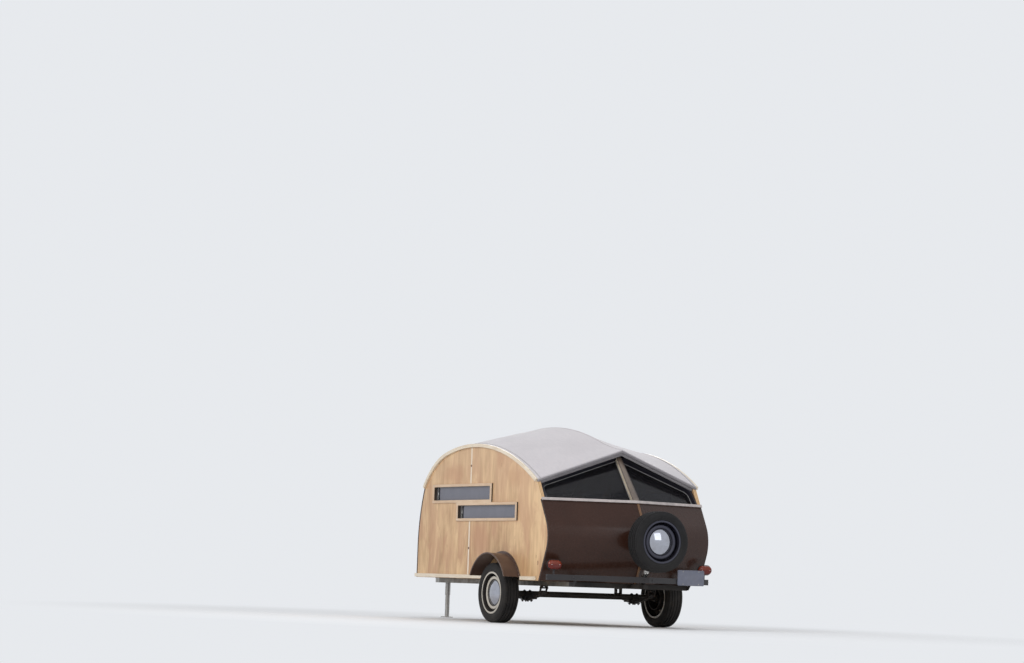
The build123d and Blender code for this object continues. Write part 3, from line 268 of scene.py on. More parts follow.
def buildWoodGrain():  # rotary-cut veneer: broad clouds and flushes, faint figure, fine pores; grain along local Z
    tree, given, out = newGroup("woodGrain", [("point", "vector", None), ("size", "float", 1.0),
                                              ("light", "colour", (0.8, 0.6, 0.4)),
                                              ("dark", "colour", (0.4, 0.2, 0.1)),
                                              ("flush", "colour", (0.5, 0.27, 0.16)), ("figure", "float", 0.5)],
                                [("colour", "colour"), ("height", "float"), ("shine", "float")])
    point = vectorMath(tree, "SCALE", given["point"], given["size"])
    broad = noiseOf(tree, stretched(tree, point, (2.9, 2.9, 1.0)), 1.0, 3, 0.5, 0.7)
    cloud = noiseOf(tree, stretched(tree, point, (9.5, 9.5, 2.3)), 1.0, 3, 0.55, 0.9)
    streak = noiseOf(tree, stretched(tree, point, (46.0, 46.0, 1.7)), 1.0, 4, 0.6, 0.2)
    pores = noiseOf(tree, stretched(tree, point, (260.0, 260.0, 7.0)), 1.0, 3, 0.7)
    field = noiseOf(tree, stretched(tree, point, (3.2, 3.2, 0.5)), 1.0, 2, 0.4, 0.6)
    rings = span(tree, zigzag(tree, field, 17.0), 0.1, 0.95, smooth=True)
    tone = 0.44
    for wave, share in ((broad, 1.8), (cloud, 1.55), (streak, 0.75), (pores, 0.4)):
        tone = plus(tree, times(tree, math2(tree, "SUBTRACT", wave, 0.5), share), tone)
    figure = times(tree, math2(tree, "SUBTRACT", rings, 0.5), times(tree, given["figure"], 0.26))
    tone = plus(tree, tone, figure, True)
    warm = noiseOf(tree, stretched(tree, point, (4.1, 4.1, 1.6)), 1.0, 4, 0.6, 1.2)
    plain = blendColour(tree, tone, given["light"], given["dark"])
    link(tree, blendColour(tree, span(tree, warm, 0.49, 0.66, 0.0, 0.6, True), plain, given["flush"]), out["colour"])
    link(tree, plus(tree, times(tree, streak, 0.5), times(tree, pores, 0.5)), out["height"])
    link(tree, span(tree, streak, 0.3, 0.7, -0.06, 0.08), out["shine"])


def buildMottle():  # unevenness of sprayed or brushed paint
    tree, given, out = newGroup("mottle", [("scale", "float", 6.0), ("ripple", "float", 160.0)],
                                [("cloud", "float"), ("height", "float"), ("shine", "float")])
    point = objectPoint(tree)
    cloud = noiseOf(tree, point, given["scale"], 5, 0.55)
    ripple = noiseOf(tree, point, given["ripple"], 2, 0.5)
    link(tree, span(tree, cloud, 0.3, 0.7), out["cloud"])
    link(tree, plus(tree, times(tree, cloud, 0.6), times(tree, ripple, 0.4)), out["height"])
    link(tree, span(tree, noiseOf(tree, point, 23.0, 6, 0.7), 0.3, 0.75, -0.05, 0.12), out["shine"])


def buildWeave():  # plain weave: warp over weft by turns
    tree, given, out = newGroup("weave", [("point", "vector", None), ("threads", "float", 700.0)],
                                [("height", "float"), ("slub", "float")])
    sized = vectorMath(tree, "SCALE", given["point"], given["threads"])
    along, across = (math2(tree, "SINE", axisOf(tree, sized, axis)) for axis in "XY")
    link(tree, math2(tree, "ABSOLUTE", times(tree, along, across)), out["height"])
    link(tree, noiseOf(tree, stretched(tree, given["point"], (9.0, 240.0, 30.0)), 1.0, 3, 0.6), out["slub"])


def buildBrushed():  # drawn or rolled metal: faint lines and dull patches
    tree, given, out = newGroup("brushed", [("point", "vector", None), ("lines", "vector", (4.0, 300.0, 300.0))],
                                [("height", "float"), ("shine", "float"), ("tone", "float")])
    fine = noiseOf(tree, stretched(tree, given["point"], given["lines"]), 1.0, 4, 0.6)
    dull = noiseOf(tree, given["point"], 14.0, 5, 0.6)
    link(tree, fine, out["height"])
    patchy = span(tree, dull, 0.3, 0.7, -0.08, 0.1)
    link(tree, plus(tree, span(tree, fine, 0.3, 0.7, -0.05, 0.05), patchy), out["shine"])
    link(tree, span(tree, dull, 0.3, 0.7), out["tone"])


def newMaterial(name, roughness=0.5, metallic=0.0, coat=0.0, coatRoughness=0.1, specular=0.5):
    material = bpy.data.materials.new(name)
    material.use_nodes = True
    tree = material.node_tree
    tree.nodes.clear()
    out = newNode(tree, "OutputMaterial")
    shader = newNode(tree, "BsdfPrincipled")
    tree.links.new(shader.outputs[0], out.inputs["Surface"])
    for label, value in (("Roughness", roughness), ("Metallic", metallic), ("Coat Weight", coat),
                         ("Coat Roughness", coatRoughness), ("Specular IOR Level", specular)):
        shader.inputs[label].default_value = value
    return material, tree, shader.inputs


def bump(tree, height, strength, distance, normal=None):
    node = newNode(tree, "Bump")
    node.inputs["Strength"].default_value = strength
    node.inputs["Distance"].default_value = distance
    tree.links.new(height, node.inputs["Height"])
    if normal is not None:
        tree.links.new(normal, node.inputs["Normal"])
    return node.outputs[0]


def surface(tree, shader, base, layer, roughness, dust, reach, strength, depth, normal=None, matt=0.0):
    grime = useGroup(tree, "roadDust", reach=reach, amount=dust)["mask"]
    link(tree, blendColour(tree, grime, base, paint["dust"]), shader["Base Color"])
    rough = plus(tree, layer["shine"], roughness, not matt)
    if matt:
        rough = plus(tree, rough, times(tree, grime, matt), True)
    link(tree, rough, shader["Roughness"])
    link(tree, bump(tree, layer["height"], strength, depth, normal), shader["Normal"])


# materials

paint = {
    "plyLight": (0.74, 0.505, 0.270), "plyDark": (0.40, 0.215, 0.095), "plyEdge": (0.40, 0.23, 0.11),
    "plyFlush": (0.48, 0.245, 0.130), "plyFaded": (0.66, 0.465, 0.305), "knot": (0.22, 0.085, 0.04),
    "knotCore": (0.42, 0.20, 0.11), "frameLight": (0.68, 0.50, 0.34), "frameDark": (0.52, 0.345, 0.21),
    "cream": (0.80, 0.71, 0.57), "creamDark": (0.64, 0.51, 0.36), "mullion": (0.17, 0.125, 0.095),
    "seamBrown": (0.19, 0.095, 0.045), "brown": (0.034, 0.0135, 0.0085), "guardBrown": (0.088, 0.047, 0.034),
    "gableDark": (0.016, 0.015, 0.021), "canvas": (0.60, 0.565, 0.585), "canvasShade": (0.51, 0.485, 0.515),
    "dust": (0.36, 0.30, 0.23), "rust": (0.20, 0.075, 0.025), "bumper": (0.030, 0.028, 0.031),
    "plate": (0.175, 0.19, 0.255), "disc": (0.022, 0.020, 0.020), "ring": (0.50, 0.46, 0.40),
    "spareDisc": (0.012, 0.012, 0.019), "spareRingSheen": (0.050, 0.051, 0.072),
    "ringEdges": ((0.1905, 0.1935, 0.2095, 0.2105), (0.134, 0.138, 0.160, 0.164)),  # radii of rim lip and crown
}

wallMarks = {  # knots and red patches of the wall veneer: x from the axle, z, half width, half height, strength
    "knots": ((-0.740, 0.605, 0.016, 0.020, 0.85), (-0.705, 0.665, 0.009, 0.014, 0.35),
              (0.090, 1.575, 0.012, 0.020, 0.32), (-0.245, 0.850, 0.010, 0.016, 0.30),
              (1.250, 0.760, 0.010, 0.016, 0.28)),
    "patches": ((0.520, 0.800, 0.26, 0.24, 0.75), (1.150, 1.500, 0.26, 0.14, 0.55), (-0.200, 1.450, 0.22, 0.12, 0.45),
                (1.180, 0.700, 0.18, 0.20, 0.45), (0.120, 1.620, 0.10, 0.10, 0.35)),
    "fade": (0.65, 1.75, 0.35)}  # lower end, upper end and share of the fading upwards


def markMask(tree, point, x, z, wide, tall):  # 0 in the middle of a mark, 1 at its rim, uneven outline
    wobble = noiseOf(tree, stretched(tree, point, (0.7 / wide, 0.0, 0.7 / tall)), 1.0, 3, 0.5)
    return plus(tree, distance(tree, point, (axleX + x, 0, z), (1 / wide, 0.0, 1 / tall)),
                span(tree, wobble, 0.2, 0.8, -0.45, 0.45))


def wallVeneer(tree, colour):  # fades the upper wall, lays patches and knots on the veneer
    point = objectPoint(tree)
    low, high, share = wallMarks["fade"]
    colour = blendColour(tree, span(tree, axisOf(tree, point, "Z"), low, high, 0.0, share), colour, paint["plyFaded"])
    for x, z, wide, tall, strength in wallMarks["patches"]:
        reach = span(tree, markMask(tree, point, x, z, wide, tall), 0.25, 1.15, strength, 0.0, True)
        colour = blendColour(tree, reach, colour, paint["plyFlush"])
    for x, z, wide, tall, strength in wallMarks["knots"]:
        rim = markMask(tree, point, x, z, wide, tall)
        ring = span(tree, math2(tree, "ABSOLUTE", math2(tree, "SUBTRACT", rim, 0.75)), 0.1, 0.45, strength, 0.0, True)
        colour = blendColour(tree, ring, colour, paint["knot"])
        core = span(tree, rim, 0.2, 0.6, 0.6 * strength, 0.0, True)
        colour = blendColour(tree, core, colour, paint["knotCore"])
    return colour


def woodMaterial(name, light, dark, turn=None, figure=0.6, size=1.0, roughness=0.42, coat=0.25, dust=0.15,
                 plies=False, flush=None):
    material, tree, shader = newMaterial(name, roughness, coat=coat, coatRoughness=0.22)
    point = objectPoint(tree)
    if turn is not None:  # turns the grain from Z to another way
        turned = newNode(tree, "Mapping")
        turned.inputs["Rotation"].default_value = turn
        feed(tree, turned.inputs["Vector"], point)
        point = turned.outputs[0]
    middle = flush or tuple((a + b) / 2 for a, b in zip(light, dark))
    grain = useGroup(tree, "woodGrain", point=point, size=size, light=light, dark=dark, flush=middle, figure=figure)
    wear = useGroup(tree, "edgeWear", radius=0.002, amount=0.5, breakUp=55.0)
    colour = grain["colour"]
    if plies:  # wall sheet: its own marks, and the layers on the cut edge
        colour = wallVeneer(tree, colour)
        layers = zigzag(tree, axisOf(tree, objectPoint(tree), "Y"), 140.0)
        stripes = blendColour(tree, span(tree, layers, 0.35, 0.65), paint["plyEdge"], light)
        facing = axisOf(tree, newNode(tree, "NewGeometry").outputs["True Normal"], "Y")
        onEdge = span(tree, math2(tree, "ABSOLUTE", facing), 0.3, 0.5, 1.0, 0.0)
        colour = blendColour(tree, onEdge, colour, stripes)
    colour = blendColour(tree, wear["mask"], colour, shaded(light, 1.15))
    surface(tree, shader, colour, grain, roughness, dust, 0.75, 0.25, 0.0006, wear["normal"])
    return material


def paintMaterial(name, colour, second, roughness=0.3, coat=0.0, wearTo=None, wear=0.4, dust=0.2, reach=0.7,
                  ripple=160.0, depth=0.0004, radius=0.003, specular=0.5):
    material, tree, shader = newMaterial(name, roughness, coat=coat, coatRoughness=0.06, specular=specular)
    coatOf = useGroup(tree, "mottle", scale=5.0, ripple=ripple)
    worn = useGroup(tree, "edgeWear", radius=radius, amount=wear, breakUp=60.0)
    base = blendColour(tree, coatOf["cloud"], colour, second)
    if wearTo is not None:
        base = blendColour(tree, worn["mask"], base, wearTo)
    surface(tree, shader, base, coatOf, roughness, dust, reach, 0.3, depth, worn["normal"], matt=0.5)
    return material


def metalMaterial(name, colour, second, roughness, rust=0.0, dust=0.2):
    material, tree, shader = newMaterial(name, roughness, 1.0)
    drawn = useGroup(tree, "brushed", point=objectPoint(tree), lines=(6.0, 260.0, 260.0))
    worn = useGroup(tree, "edgeWear", radius=0.0025, amount=0.5, breakUp=45.0)
    base = blendColour(tree, drawn["tone"], colour, second)
    base = blendColour(tree, worn["mask"], base, shaded(colour, 1.3))
    spots = span(tree, noiseOf(tree, objectPoint(tree), 26.0, 6, 0.7), 0.56, 0.7, 0.0, rust)
    base = blendColour(tree, spots, base, paint["rust"])
    grime = useGroup(tree, "roadDust", reach=0.8, amount=dust)
    dull = math2(tree, "MAXIMUM", grime["mask"], spots)
    link(tree, blendColour(tree, grime["mask"], base, paint["dust"]), shader["Base Color"])
    link(tree, span(tree, dull, 0.0, 1.0, 1.0, 0.1), shader["Metallic"])
    rough = plus(tree, plus(tree, drawn["shine"], roughness), times(tree, dull, 0.5), True)
    link(tree, rough, shader["Roughness"])
    link(tree, bump(tree, drawn["height"], 0.2, 0.0002, worn["normal"]), shader["Normal"])
    return material


def clothMaterial(name, colour, second, threads=900.0, roughness=0.85, sheen=0.35, dirt=0.25):
    material, tree, shader = newMaterial(name, roughness, specular=0.3)
    shader["Sheen Weight"].default_value = sheen
    shader["Sheen Roughness"].default_value = 0.5
    woven = useGroup(tree, "weave", point=objectPoint(tree), threads=threads)
    stain = span(tree, noiseOf(tree, objectPoint(tree), 2.6, 6, 0.6, 0.4), 0.42, 0.78, 0.0, dirt)
    base = blendColour(tree, span(tree, woven["slub"], 0.3, 0.7), colour, second)
    base = blendColour(tree, stain, base, shaded(second, 0.72))
    link(tree, base, shader["Base Color"])
    link(tree, span(tree, woven["slub"], 0.3, 0.7, roughness - 0.06, roughness + 0.06), shader["Roughness"])
    fold = noiseOf(tree, stretched(tree, objectPoint(tree), (2.2, 7.0, 3.0)), 1.0, 3, 0.5, 0.5)
    first = bump(tree, fold, 0.25, 0.006)
    link(tree, bump(tree, woven["height"], 0.35, 0.0003, first), shader["Normal"])
    return material


def glassMaterial(name, tint, transmission, roughness=0.03, specular=0.5, bend=1.49):
    material, tree, shader = newMaterial(name, roughness, specular=specular)
    shader["Transmission Weight"].default_value = transmission
    shader["IOR"].default_value = bend
    smear = noiseOf(tree, stretched(tree, objectPoint(tree), (6.0, 9.0, 4.0)), 1.0, 6, 0.65)
    film = span(tree, smear, 0.45, 0.8, 0.0, 0.22)
    link(tree, blendColour(tree, film, tint, shaded(tint, 1.6, 0.02)), shader["Base Color"])
    link(tree, span(tree, smear, 0.35, 0.8, roughness, roughness + 0.07), shader["Roughness"])
    return material


def rubberMaterial(name, colour, dust):
    material, tree, shader = newMaterial(name, 0.72, specular=0.25)
    coatOf = useGroup(tree, "mottle", scale=12.0, ripple=420.0)
    worn = useGroup(tree, "edgeWear", radius=0.0025, amount=0.5, breakUp=70.0)
    base = blendColour(tree, coatOf["cloud"], colour, shaded(colour, 1.5))
    base = blendColour(tree, worn["mask"], base, shaded(colour, 2.2))
    surface(tree, shader, base, coatOf, 0.68, dust, 0.9, 0.3, 0.0004)
    return material


def wheelMaterial(name, centre, across, dark, pale, specular):  # enamelled steel: dark disc with two lighter rings, which on the spare are painted highlights
    material, tree, shader = newMaterial(name, 0.32, specular=specular)
    radius = distance(tree, objectPoint(tree), centre, across)
    coatOf = useGroup(tree, "mottle", scale=14.0, ripple=240.0)
    worn = useGroup(tree, "edgeWear", radius=0.002, amount=0.6, breakUp=70.0)
    lip, crown = (times(tree, span(tree, radius, a, b), span(tree, radius, c, d, 1.0, 0.0))
                  for a, b, c, d in paint["ringEdges"])
    disc = blendColour(tree, coatOf["cloud"], dark, shaded(dark, 1.5))
    ringed = blendColour(tree, math2(tree, "MAXIMUM", lip, crown), disc, pale)
    ringed = blendColour(tree, times(tree, worn["mask"], 0.5), ringed, shaded(pale, 1.1))
    surface(tree, shader, ringed, coatOf, 0.3, 0.12, 0.9, 0.2, 0.0003, worn["normal"])
    return material


def chromeMaterial():
    material, tree, shader = newMaterial("chromeCap", 0.06, 1.0)
    smear = noiseOf(tree, objectPoint(tree), 18.0, 6, 0.6)
    pits = span(tree, noiseOf(tree, objectPoint(tree), 420.0, 2, 0.5), 0.68, 0.74)
    shade = blendColour(tree, span(tree, smear, 0.4, 0.75, 0.0, 0.35), (0.43, 0.445, 0.50), (0.27, 0.26, 0.26))
    link(tree, blendColour(tree, times(tree, pits, 0.5), shade, (0.2, 0.14, 0.1)), shader["Base Color"])
    link(tree, span(tree, smear, 0.35, 0.75, 0.07, 0.18), shader["Roughness"])
    return material


def lensMaterial():
    material, tree, shader = newMaterial("redLens", 0.12, coat=0.3, coatRoughness=0.04, specular=0.3)
    point = objectPoint(tree)
    cells = times(tree, *(zigzag(tree, axisOf(tree, point, axis), 220.0) for axis in "YZ"))
    # painted highlight: an orange band across the upper middle of each lens
    highlightBand = span(tree, axisOf(tree, point, "Z"), 0.585, 0.605, 0.15, 0.75, True)
    red = blendColour(tree, cells, (0.055, 0.002, 0.0015), (0.24, 0.010, 0.005))
    glow = blendColour(tree, times(tree, highlightBand, cells), red, (0.62, 0.10, 0.015))
    link(tree, glow, shader["Base Color"])
    link(tree, span(tree, cells, 0.0, 1.0, 0.10, 0.22), shader["Roughness"])
    link(tree, bump(tree, cells, 0.6, 0.0012), shader["Normal"])
    return material


def plateMaterial():
    material, tree, shader = newMaterial("plateEnamel", 0.35, specular=0.35)
    coatOf = useGroup(tree, "mottle", scale=22.0, ripple=200.0)
    worn = useGroup(tree, "edgeWear", radius=0.003, amount=0.8, breakUp=90.0)
    base = blendColour(tree, coatOf["cloud"], paint["plate"], shaded(paint["plate"], 0.82))
    base = blendColour(tree, worn["mask"], base, (0.42, 0.43, 0.46))
    surface(tree, shader, base, coatOf, 0.36, 0.5, 0.75, 0.2, 0.0003, worn["normal"])
    return material


def floorMaterial():  # pale floor that takes the shadow, runs into the backdrop further out, clear from below
    material, tree, shader = newMaterial("studioFloor", 0.9, specular=0.1)
    tone = noiseOf(tree, objectPoint(tree), 0.6, 3, 0.5)
    pale = studio["floorColour"]
    link(tree, blendColour(tree, span(tree, tone, 0.3, 0.7), pale, shaded(pale, 0.985)), shader["Base Color"])
    far = distance(tree, objectPoint(tree), (0, 0, 0), (0.6, 1.0, 0.0))
    away = span(tree, far, *studio["shadowReach"], smooth=True)
    glow = newNode(tree, "Emission")
    glow.inputs["Color"].default_value = (*studio["backdrop"], 1)
    out = next(n for n in tree.nodes if n.type == "OUTPUT_MATERIAL")
    body = next(n for n in tree.nodes if n.type == "BSDF_PRINCIPLED")
    lit = mixShaders(tree, times(tree, away, watchedRays(tree)), body.outputs[0], glow.outputs[0])
    under = newNode(tree, "NewGeometry").outputs["Backfacing"]
    link(tree, mixShaders(tree, under, lit, newNode(tree, "BsdfTransparent").outputs[0]), out.inputs["Surface"])
    return material


makeCamera()
makeStudio()
for build in (buildEdgeWear, buildRoadDust, buildWoodGrain, buildMottle, buildWeave, buildBrushed):
    build()
turnToX = (0, math.radians(90), 0)
turnToY = (math.radians(90), 0, 0)
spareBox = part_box("spare_wheel")
spareAxis = (0, 0, (spareBox[0].z + spareBox[1].z) / 2)
looks = {
    "plywood": woodMaterial("plywood", paint["plyLight"], paint["plyDark"], figure=0.5, plies=True, coat=0.15,
                            flush=paint["plyFlush"]),
    "innerPly": woodMaterial("innerPly", (0.62, 0.45, 0.28), (0.34, 0.20, 0.10), turn=turnToX, coat=0.0,
                             roughness=0.6),
    "bowAsh": woodMaterial("bowAsh", (0.68, 0.52, 0.34), (0.42, 0.27, 0.14), turn=turnToY, size=1.4, coat=0.1),
    "galleyPly": woodMaterial("galleyPly", (0.66, 0.47, 0.28), (0.38, 0.22, 0.11), turn=turnToY, coat=0.1),
    "cream": woodMaterial("creamTrim", paint["cream"], paint["creamDark"], turn=turnToX, figure=0.2, size=1.6,
                          roughness=0.3, coat=0.5, dust=0.25),
    "frameWood": woodMaterial("frameWood", paint["frameLight"], paint["frameDark"], turn=turnToX, figure=0.2, size=1.6,
                              roughness=0.36, coat=0.2, dust=0.1),
    # painted shade: the mullion's wood is darkened for the shade it stands in
    "shadedMullionWood": woodMaterial("shadedMullionWood", paint["mullion"], shaded(paint["mullion"], 0.6), figure=0.3,
                                size=1.6, dust=0.0),
    "seamBrown": paintMaterial("seamBrown", paint["seamBrown"], shaded(paint["seamBrown"], 0.7), 0.28,
                               wearTo=(0.42, 0.26, 0.15), wear=0.9, dust=0.1, specular=0.4),
    "brownGloss": paintMaterial("brownGloss", paint["brown"], shaded(paint["brown"], 1.2), 0.24, coat=0.12,
                                wearTo=(0.085, 0.048, 0.034), wear=0.35, dust=0.07, reach=0.85, ripple=70.0,
                                depth=0.00006, specular=0.22),
    # partly painted highlight: the pale rubbed edge along the guard's rim, at full strength, also stands for the
    # highlight on its outer edge
    "guardBrown": paintMaterial("guardBrown", paint["guardBrown"], shaded(paint["guardBrown"], 0.75), 0.34,
                                coat=0.15, wearTo=(0.52, 0.40, 0.33), wear=1.0, dust=0.18, reach=0.9, radius=0.004,
                                specular=0.35),
    "gableDark": paintMaterial("gableDark", paint["gableDark"], shaded(paint["gableDark"], 1.3), 0.35,
                               wearTo=(0.08, 0.08, 0.09), wear=0.4, dust=0.0, specular=0.25),
    "canvas": clothMaterial("roofCanvas", paint["canvas"], paint["canvasShade"]),
    # painted shade: the hem's grey, darker than the roof canvas, stands for the shade under the roof's rear edge; the
    # same grey also serves the pipings, welt and mattress trim
    "hemCanvas": clothMaterial("hemCanvas", (0.33, 0.31, 0.32), (0.24, 0.225, 0.24), sheen=0.2, dirt=0.5),
    "ticking": clothMaterial("mattressTicking", (0.52, 0.50, 0.46), (0.40, 0.37, 0.33), threads=600.0),
    "gableGlass": glassMaterial("gableGlass", (0.15, 0.145, 0.17), 0.95, specular=0.4, bend=1.18),
    # painted reflection: the side panes' pale blue-grey base colour, mostly opaque, stands for the sky reflected in
    # them
    "sideGlass": glassMaterial("sideGlass", (0.165, 0.17, 0.215), 0.25, 0.06),
    "galvanised": metalMaterial("galvanised", (0.27, 0.26, 0.24), (0.18, 0.17, 0.155), 0.45, rust=0.5, dust=0.2),
    "zinc": metalMaterial("zincSteel", (0.42, 0.41, 0.395), (0.30, 0.29, 0.275), 0.36, rust=0.4, dust=0.15),
    "blackSteel": paintMaterial("blackSteel", (0.013, 0.012, 0.012), (0.021, 0.018, 0.017), 0.5, wearTo=paint["rust"],
                                wear=0.7, dust=0.16, reach=0.8, specular=0.25),
    "bumperGrey": paintMaterial("bumperGrey", paint["bumper"], shaded(paint["bumper"], 0.85), 0.33,
                                wearTo=(0.20, 0.195, 0.20), wear=0.9, dust=0.08, reach=0.8, specular=0.3),
    "tyreRubber": rubberMaterial("tyreRubber", (0.0095, 0.009, 0.0095), 0.10),
    "seal": rubberMaterial("sealRubber", (0.17, 0.165, 0.165), 0.0),
    "thread": clothMaterial("sailThread", (0.50, 0.47, 0.44), (0.40, 0.38, 0.36), threads=3000.0, dirt=0.1),
    "paleStrip": woodMaterial("paleStrip", (0.84, 0.75, 0.62), (0.72, 0.60, 0.46), figure=0.1, size=1.6, dust=0.1),
    "plugWood": woodMaterial("plugWood", (0.20, 0.10, 0.05), (0.09, 0.045, 0.025), size=3.0, coat=0.1),
    "gripRubber": rubberMaterial("gripRubber", (0.02, 0.02, 0.021), 0.1),
    "roadWheel": wheelMaterial("roadWheelEnamel", (axleX, 0, hubZ), (1, 0, 1), paint["disc"], paint["ring"], 0.4),
    # painted highlight: the spare's pale blue-grey rings stand for the highlights on its rim lip and crown
    "spareWheel": wheelMaterial("spareWheelEnamel", spareAxis, (0, 1, 1), paint["spareDisc"], paint["spareRingSheen"],
                                0.25),
    "chrome": chromeMaterial(),
    "redLens": lensMaterial(),
    "plateEnamel": plateMaterial(),
    "alloy": metalMaterial("alloyTrim", (0.70, 0.68, 0.66), (0.56, 0.545, 0.53), 0.30, dust=0.08),
    "beltAlloy": metalMaterial("beltAlloy", (0.56, 0.50, 0.475), (0.40, 0.36, 0.35), 0.38, dust=0.0),
    "frameShade": paintMaterial("frameShade", (0.060, 0.040, 0.030), (0.035, 0.024, 0.018), 0.6, dust=0.0),
    "floor": floorMaterial(),
}
print("materials:", len(looks))

finishOf = {
    "roof_frame": "bowAsh", "side_wall_left": "plywood", "side_wall_right": "plywood", "door_panel": "plywood",
    "front_panels": "brownGloss", "rear_panels": "brownGloss", "gable_frame": "gableDark", "trim_strips": "cream",
    "edge_mouldings": "cream", "floor_pan": "innerPly", "window_frames": "frameWood", "door_window_frame": "frameWood",
    "fixed_glass": "gableGlass", "door_glass": "sideGlass", "mudguards": "guardBrown", "chassis_frame": "galvanised",
    "drawbar": "galvanised", "coupler": "zinc", "jack_tube": "zinc", "jack_crank": "zinc", "jack_leg": "zinc",
    "axle_beam": "blackSteel", "leaf_springs": "blackSteel", "spring_mounts": "blackSteel", "bumper": "bumperGrey",
    "tail_lamps": "redLens", "licence_plate": "plateEnamel", "spare_carrier": "blackSteel", "spare_wheel": "spareWheel",
    "spare_cap": "chrome", "wheel_left": "roadWheel", "wheel_right": "roadWheel", "cap_left": "chrome",
    "cap_right": "chrome", "hub_left": "blackSteel", "hub_right": "blackSteel", "door_handle": "chrome",
    "door_hinges": "zinc", "hinge_leaves": "zinc", "cabinet": "galleyPly",
}
rounding = {  # metres taken off the corners of the plain-edged nodes
    "side_wall_left": 0.0015, "side_wall_right": 0.0015, "door_panel": 0.0015, "window_frames": 0.004,
    "door_window_frame": 0.004, "edge_mouldings": 0.007, "trim_strips": 0.0035, "chassis_frame": 0.004,
    "cabinet": 0.002, "floor_pan": 0.002, "roof_frame": 0.003, "drawbar": 0.004, "spare_carrier": 0.004,
}
for name, look in finishOf.items():
    data = nodes[name].data
    data.materials.clear()
    data.materials.append(looks[look])
    if name in rounding:
        weld = nodes[name].modifiers.new("weld", "WELD")
        weld.merge_threshold = 0.00002
        soften = nodes[name].modifiers.new("soften", "BEVEL")
        soften.width, soften.segments, soften.limit_method = rounding[name], 3, "ANGLE"
        soften.angle_limit, soften.harden_normals = math.radians(38), True


faceRules = {"paneY": 0.879, "paneX": -0.45, "revealZ": 1.243, "beltZ": 1.208, "sideRailY": 0.592, "lensZ": 0.5455,
             "leftFacing": 0.6, "backFacing": -0.7}


def repaint(name, others, choose):  # further looks for some faces: choose gives the number of each face's look
    data = nodes[name].data
    for look in others:
        data.materials.append(looks[look])
    for face in data.polygons:
        face.material_index = choose(face)


def stripLook(face):  # painted light: the mullion's left-facing side is painted cream for its sunlit reveal and its other faces dark for shade; alloy belt rail, brown seam strips
    spot = face.center
    if spot.z > faceRules["revealZ"] and spot.x < axleX:
        return 0 if face.normal.y > faceRules["leftFacing"] and spot.y > 0 else 3
    return 1 if spot.z > faceRules["beltZ"] and spot.x < axleX else 2


def isSidePane(face):
    return abs(face.center.y) > faceRules["paneY"] and face.center.x > axleX + faceRules["paneX"]


repaint("fixed_glass", ["sideGlass"], isSidePane)
repaint("trim_strips", ["beltAlloy", "seamBrown", "shadedMullionWood"], stripLook)
for name in ("window_frames", "door_window_frame"):  # painted shade: the faces that look backwards are painted dark
    repaint(name, ["frameShade"], lambda face: face.normal.x < faceRules["backFacing"])
repaint("chassis_frame", ["blackSteel"], lambda face: abs(face.center.y) < faceRules["sideRailY"])  # painted shade: the inner members are painted black steel for the shade under the body
repaint("tail_lamps", ["zinc"], lambda face: face.center.z < faceRules["lensZ"])  # the brackets under the lenses
print("CAD nodes dressed:", len(finishOf))


# shapes made in code: tubes, turned profiles, blocks and fasteners

wallFace = 0.910  # the side walls' outer faces, and the edges of the roof
leftRight = ((1, "Left"), (-1, "Right"))


def makePiece(name, points, faces, look, body="trailer", slot=None, sharp=35):
    data = bpy.data.meshes.new(name)
    data.from_pydata([tuple(p) for p in points], [], faces)
    data.materials.append(looks[look])
    data.polygons.foreach_set("use_smooth", [True] * len(data.polygons))
    data.set_sharp_from_angle(angle=math.radians(sharp))
    data.update()
    piece = bpy.data.objects.new(name, data)
    bpy.context.scene.collection.objects.link(piece)
    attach(piece, body)
    return piece


def gather(parts):  # several (points, faces) as one
    points, faces = [], []
    for somePoints, someFaces in parts:
        start = len(points)
        points.extend(somePoints)
        faces.extend([tuple(i + start for i in face) for face in someFaces])
    return points, faces


def thicken(piece, thickness, offset=0):
    skin = piece.modifiers.new("thickness", "SOLIDIFY")
    skin.thickness, skin.offset = thickness, offset


def surfaceOf(name):  # a CAD node's surface, for rays
    data = nodes[name].data
    return BVHTree.FromPolygons([v.co for v in data.vertices], [tuple(p.vertices) for p in data.polygons])


def spoke(turn, side, up):
    return math.cos(turn) * side + math.sin(turn) * up


def gridFaces(rows, wide, acrossFirst=False, mirrored=False):  # quads of a grid, wide points to a row
    corners = (0, 1, wide + 1, wide) if acrossFirst else (0, wide, wide + 1, 1)
    corners = corners[::-1] if mirrored else corners
    return [tuple(i * wide + k + c for c in corners) for i in range(rows - 1) for k in range(wide - 1)]


def ringFaces(rows, sides, closed=False, capped=True):  # quads between rings of points, wound outward
    faces = []
    for i in range(rows if closed else rows - 1):
        near, far = i * sides, (i + 1) % rows * sides
        for k in range(sides):
            faces.append((near + k, near + (k + 1) % sides, far + (k + 1) % sides, far + k))
    if capped and not closed:
        faces.append(tuple(range(sides))[::-1])
        faces.append(tuple((rows - 1) * sides + k for k in range(sides)))
    return faces


def tubeAlong(path, radius, sides=10, closed=False):  # radius is one value or one for each point
    path = [Vector(p) for p in path]
    count = len(path)
    radii = [radius] * count if isinstance(radius, (int, float)) else radius
    side = (path[1] - path[0]).orthogonal().normalized()
    points = []
    for i, spot in enumerate(path):
        before = path[i - 1] if closed or i else spot
        after = path[(i + 1) % count] if closed or i < count - 1 else spot
        ahead = (after - before).normalized()
        side = (side - side.project(ahead)).normalized()
        up = ahead.cross(side)
        points += [spot + radii[i] * spoke(2 * math.pi * k / sides, side, up) for k in range(sides)]
    return points, ringFaces(count, sides, closed)


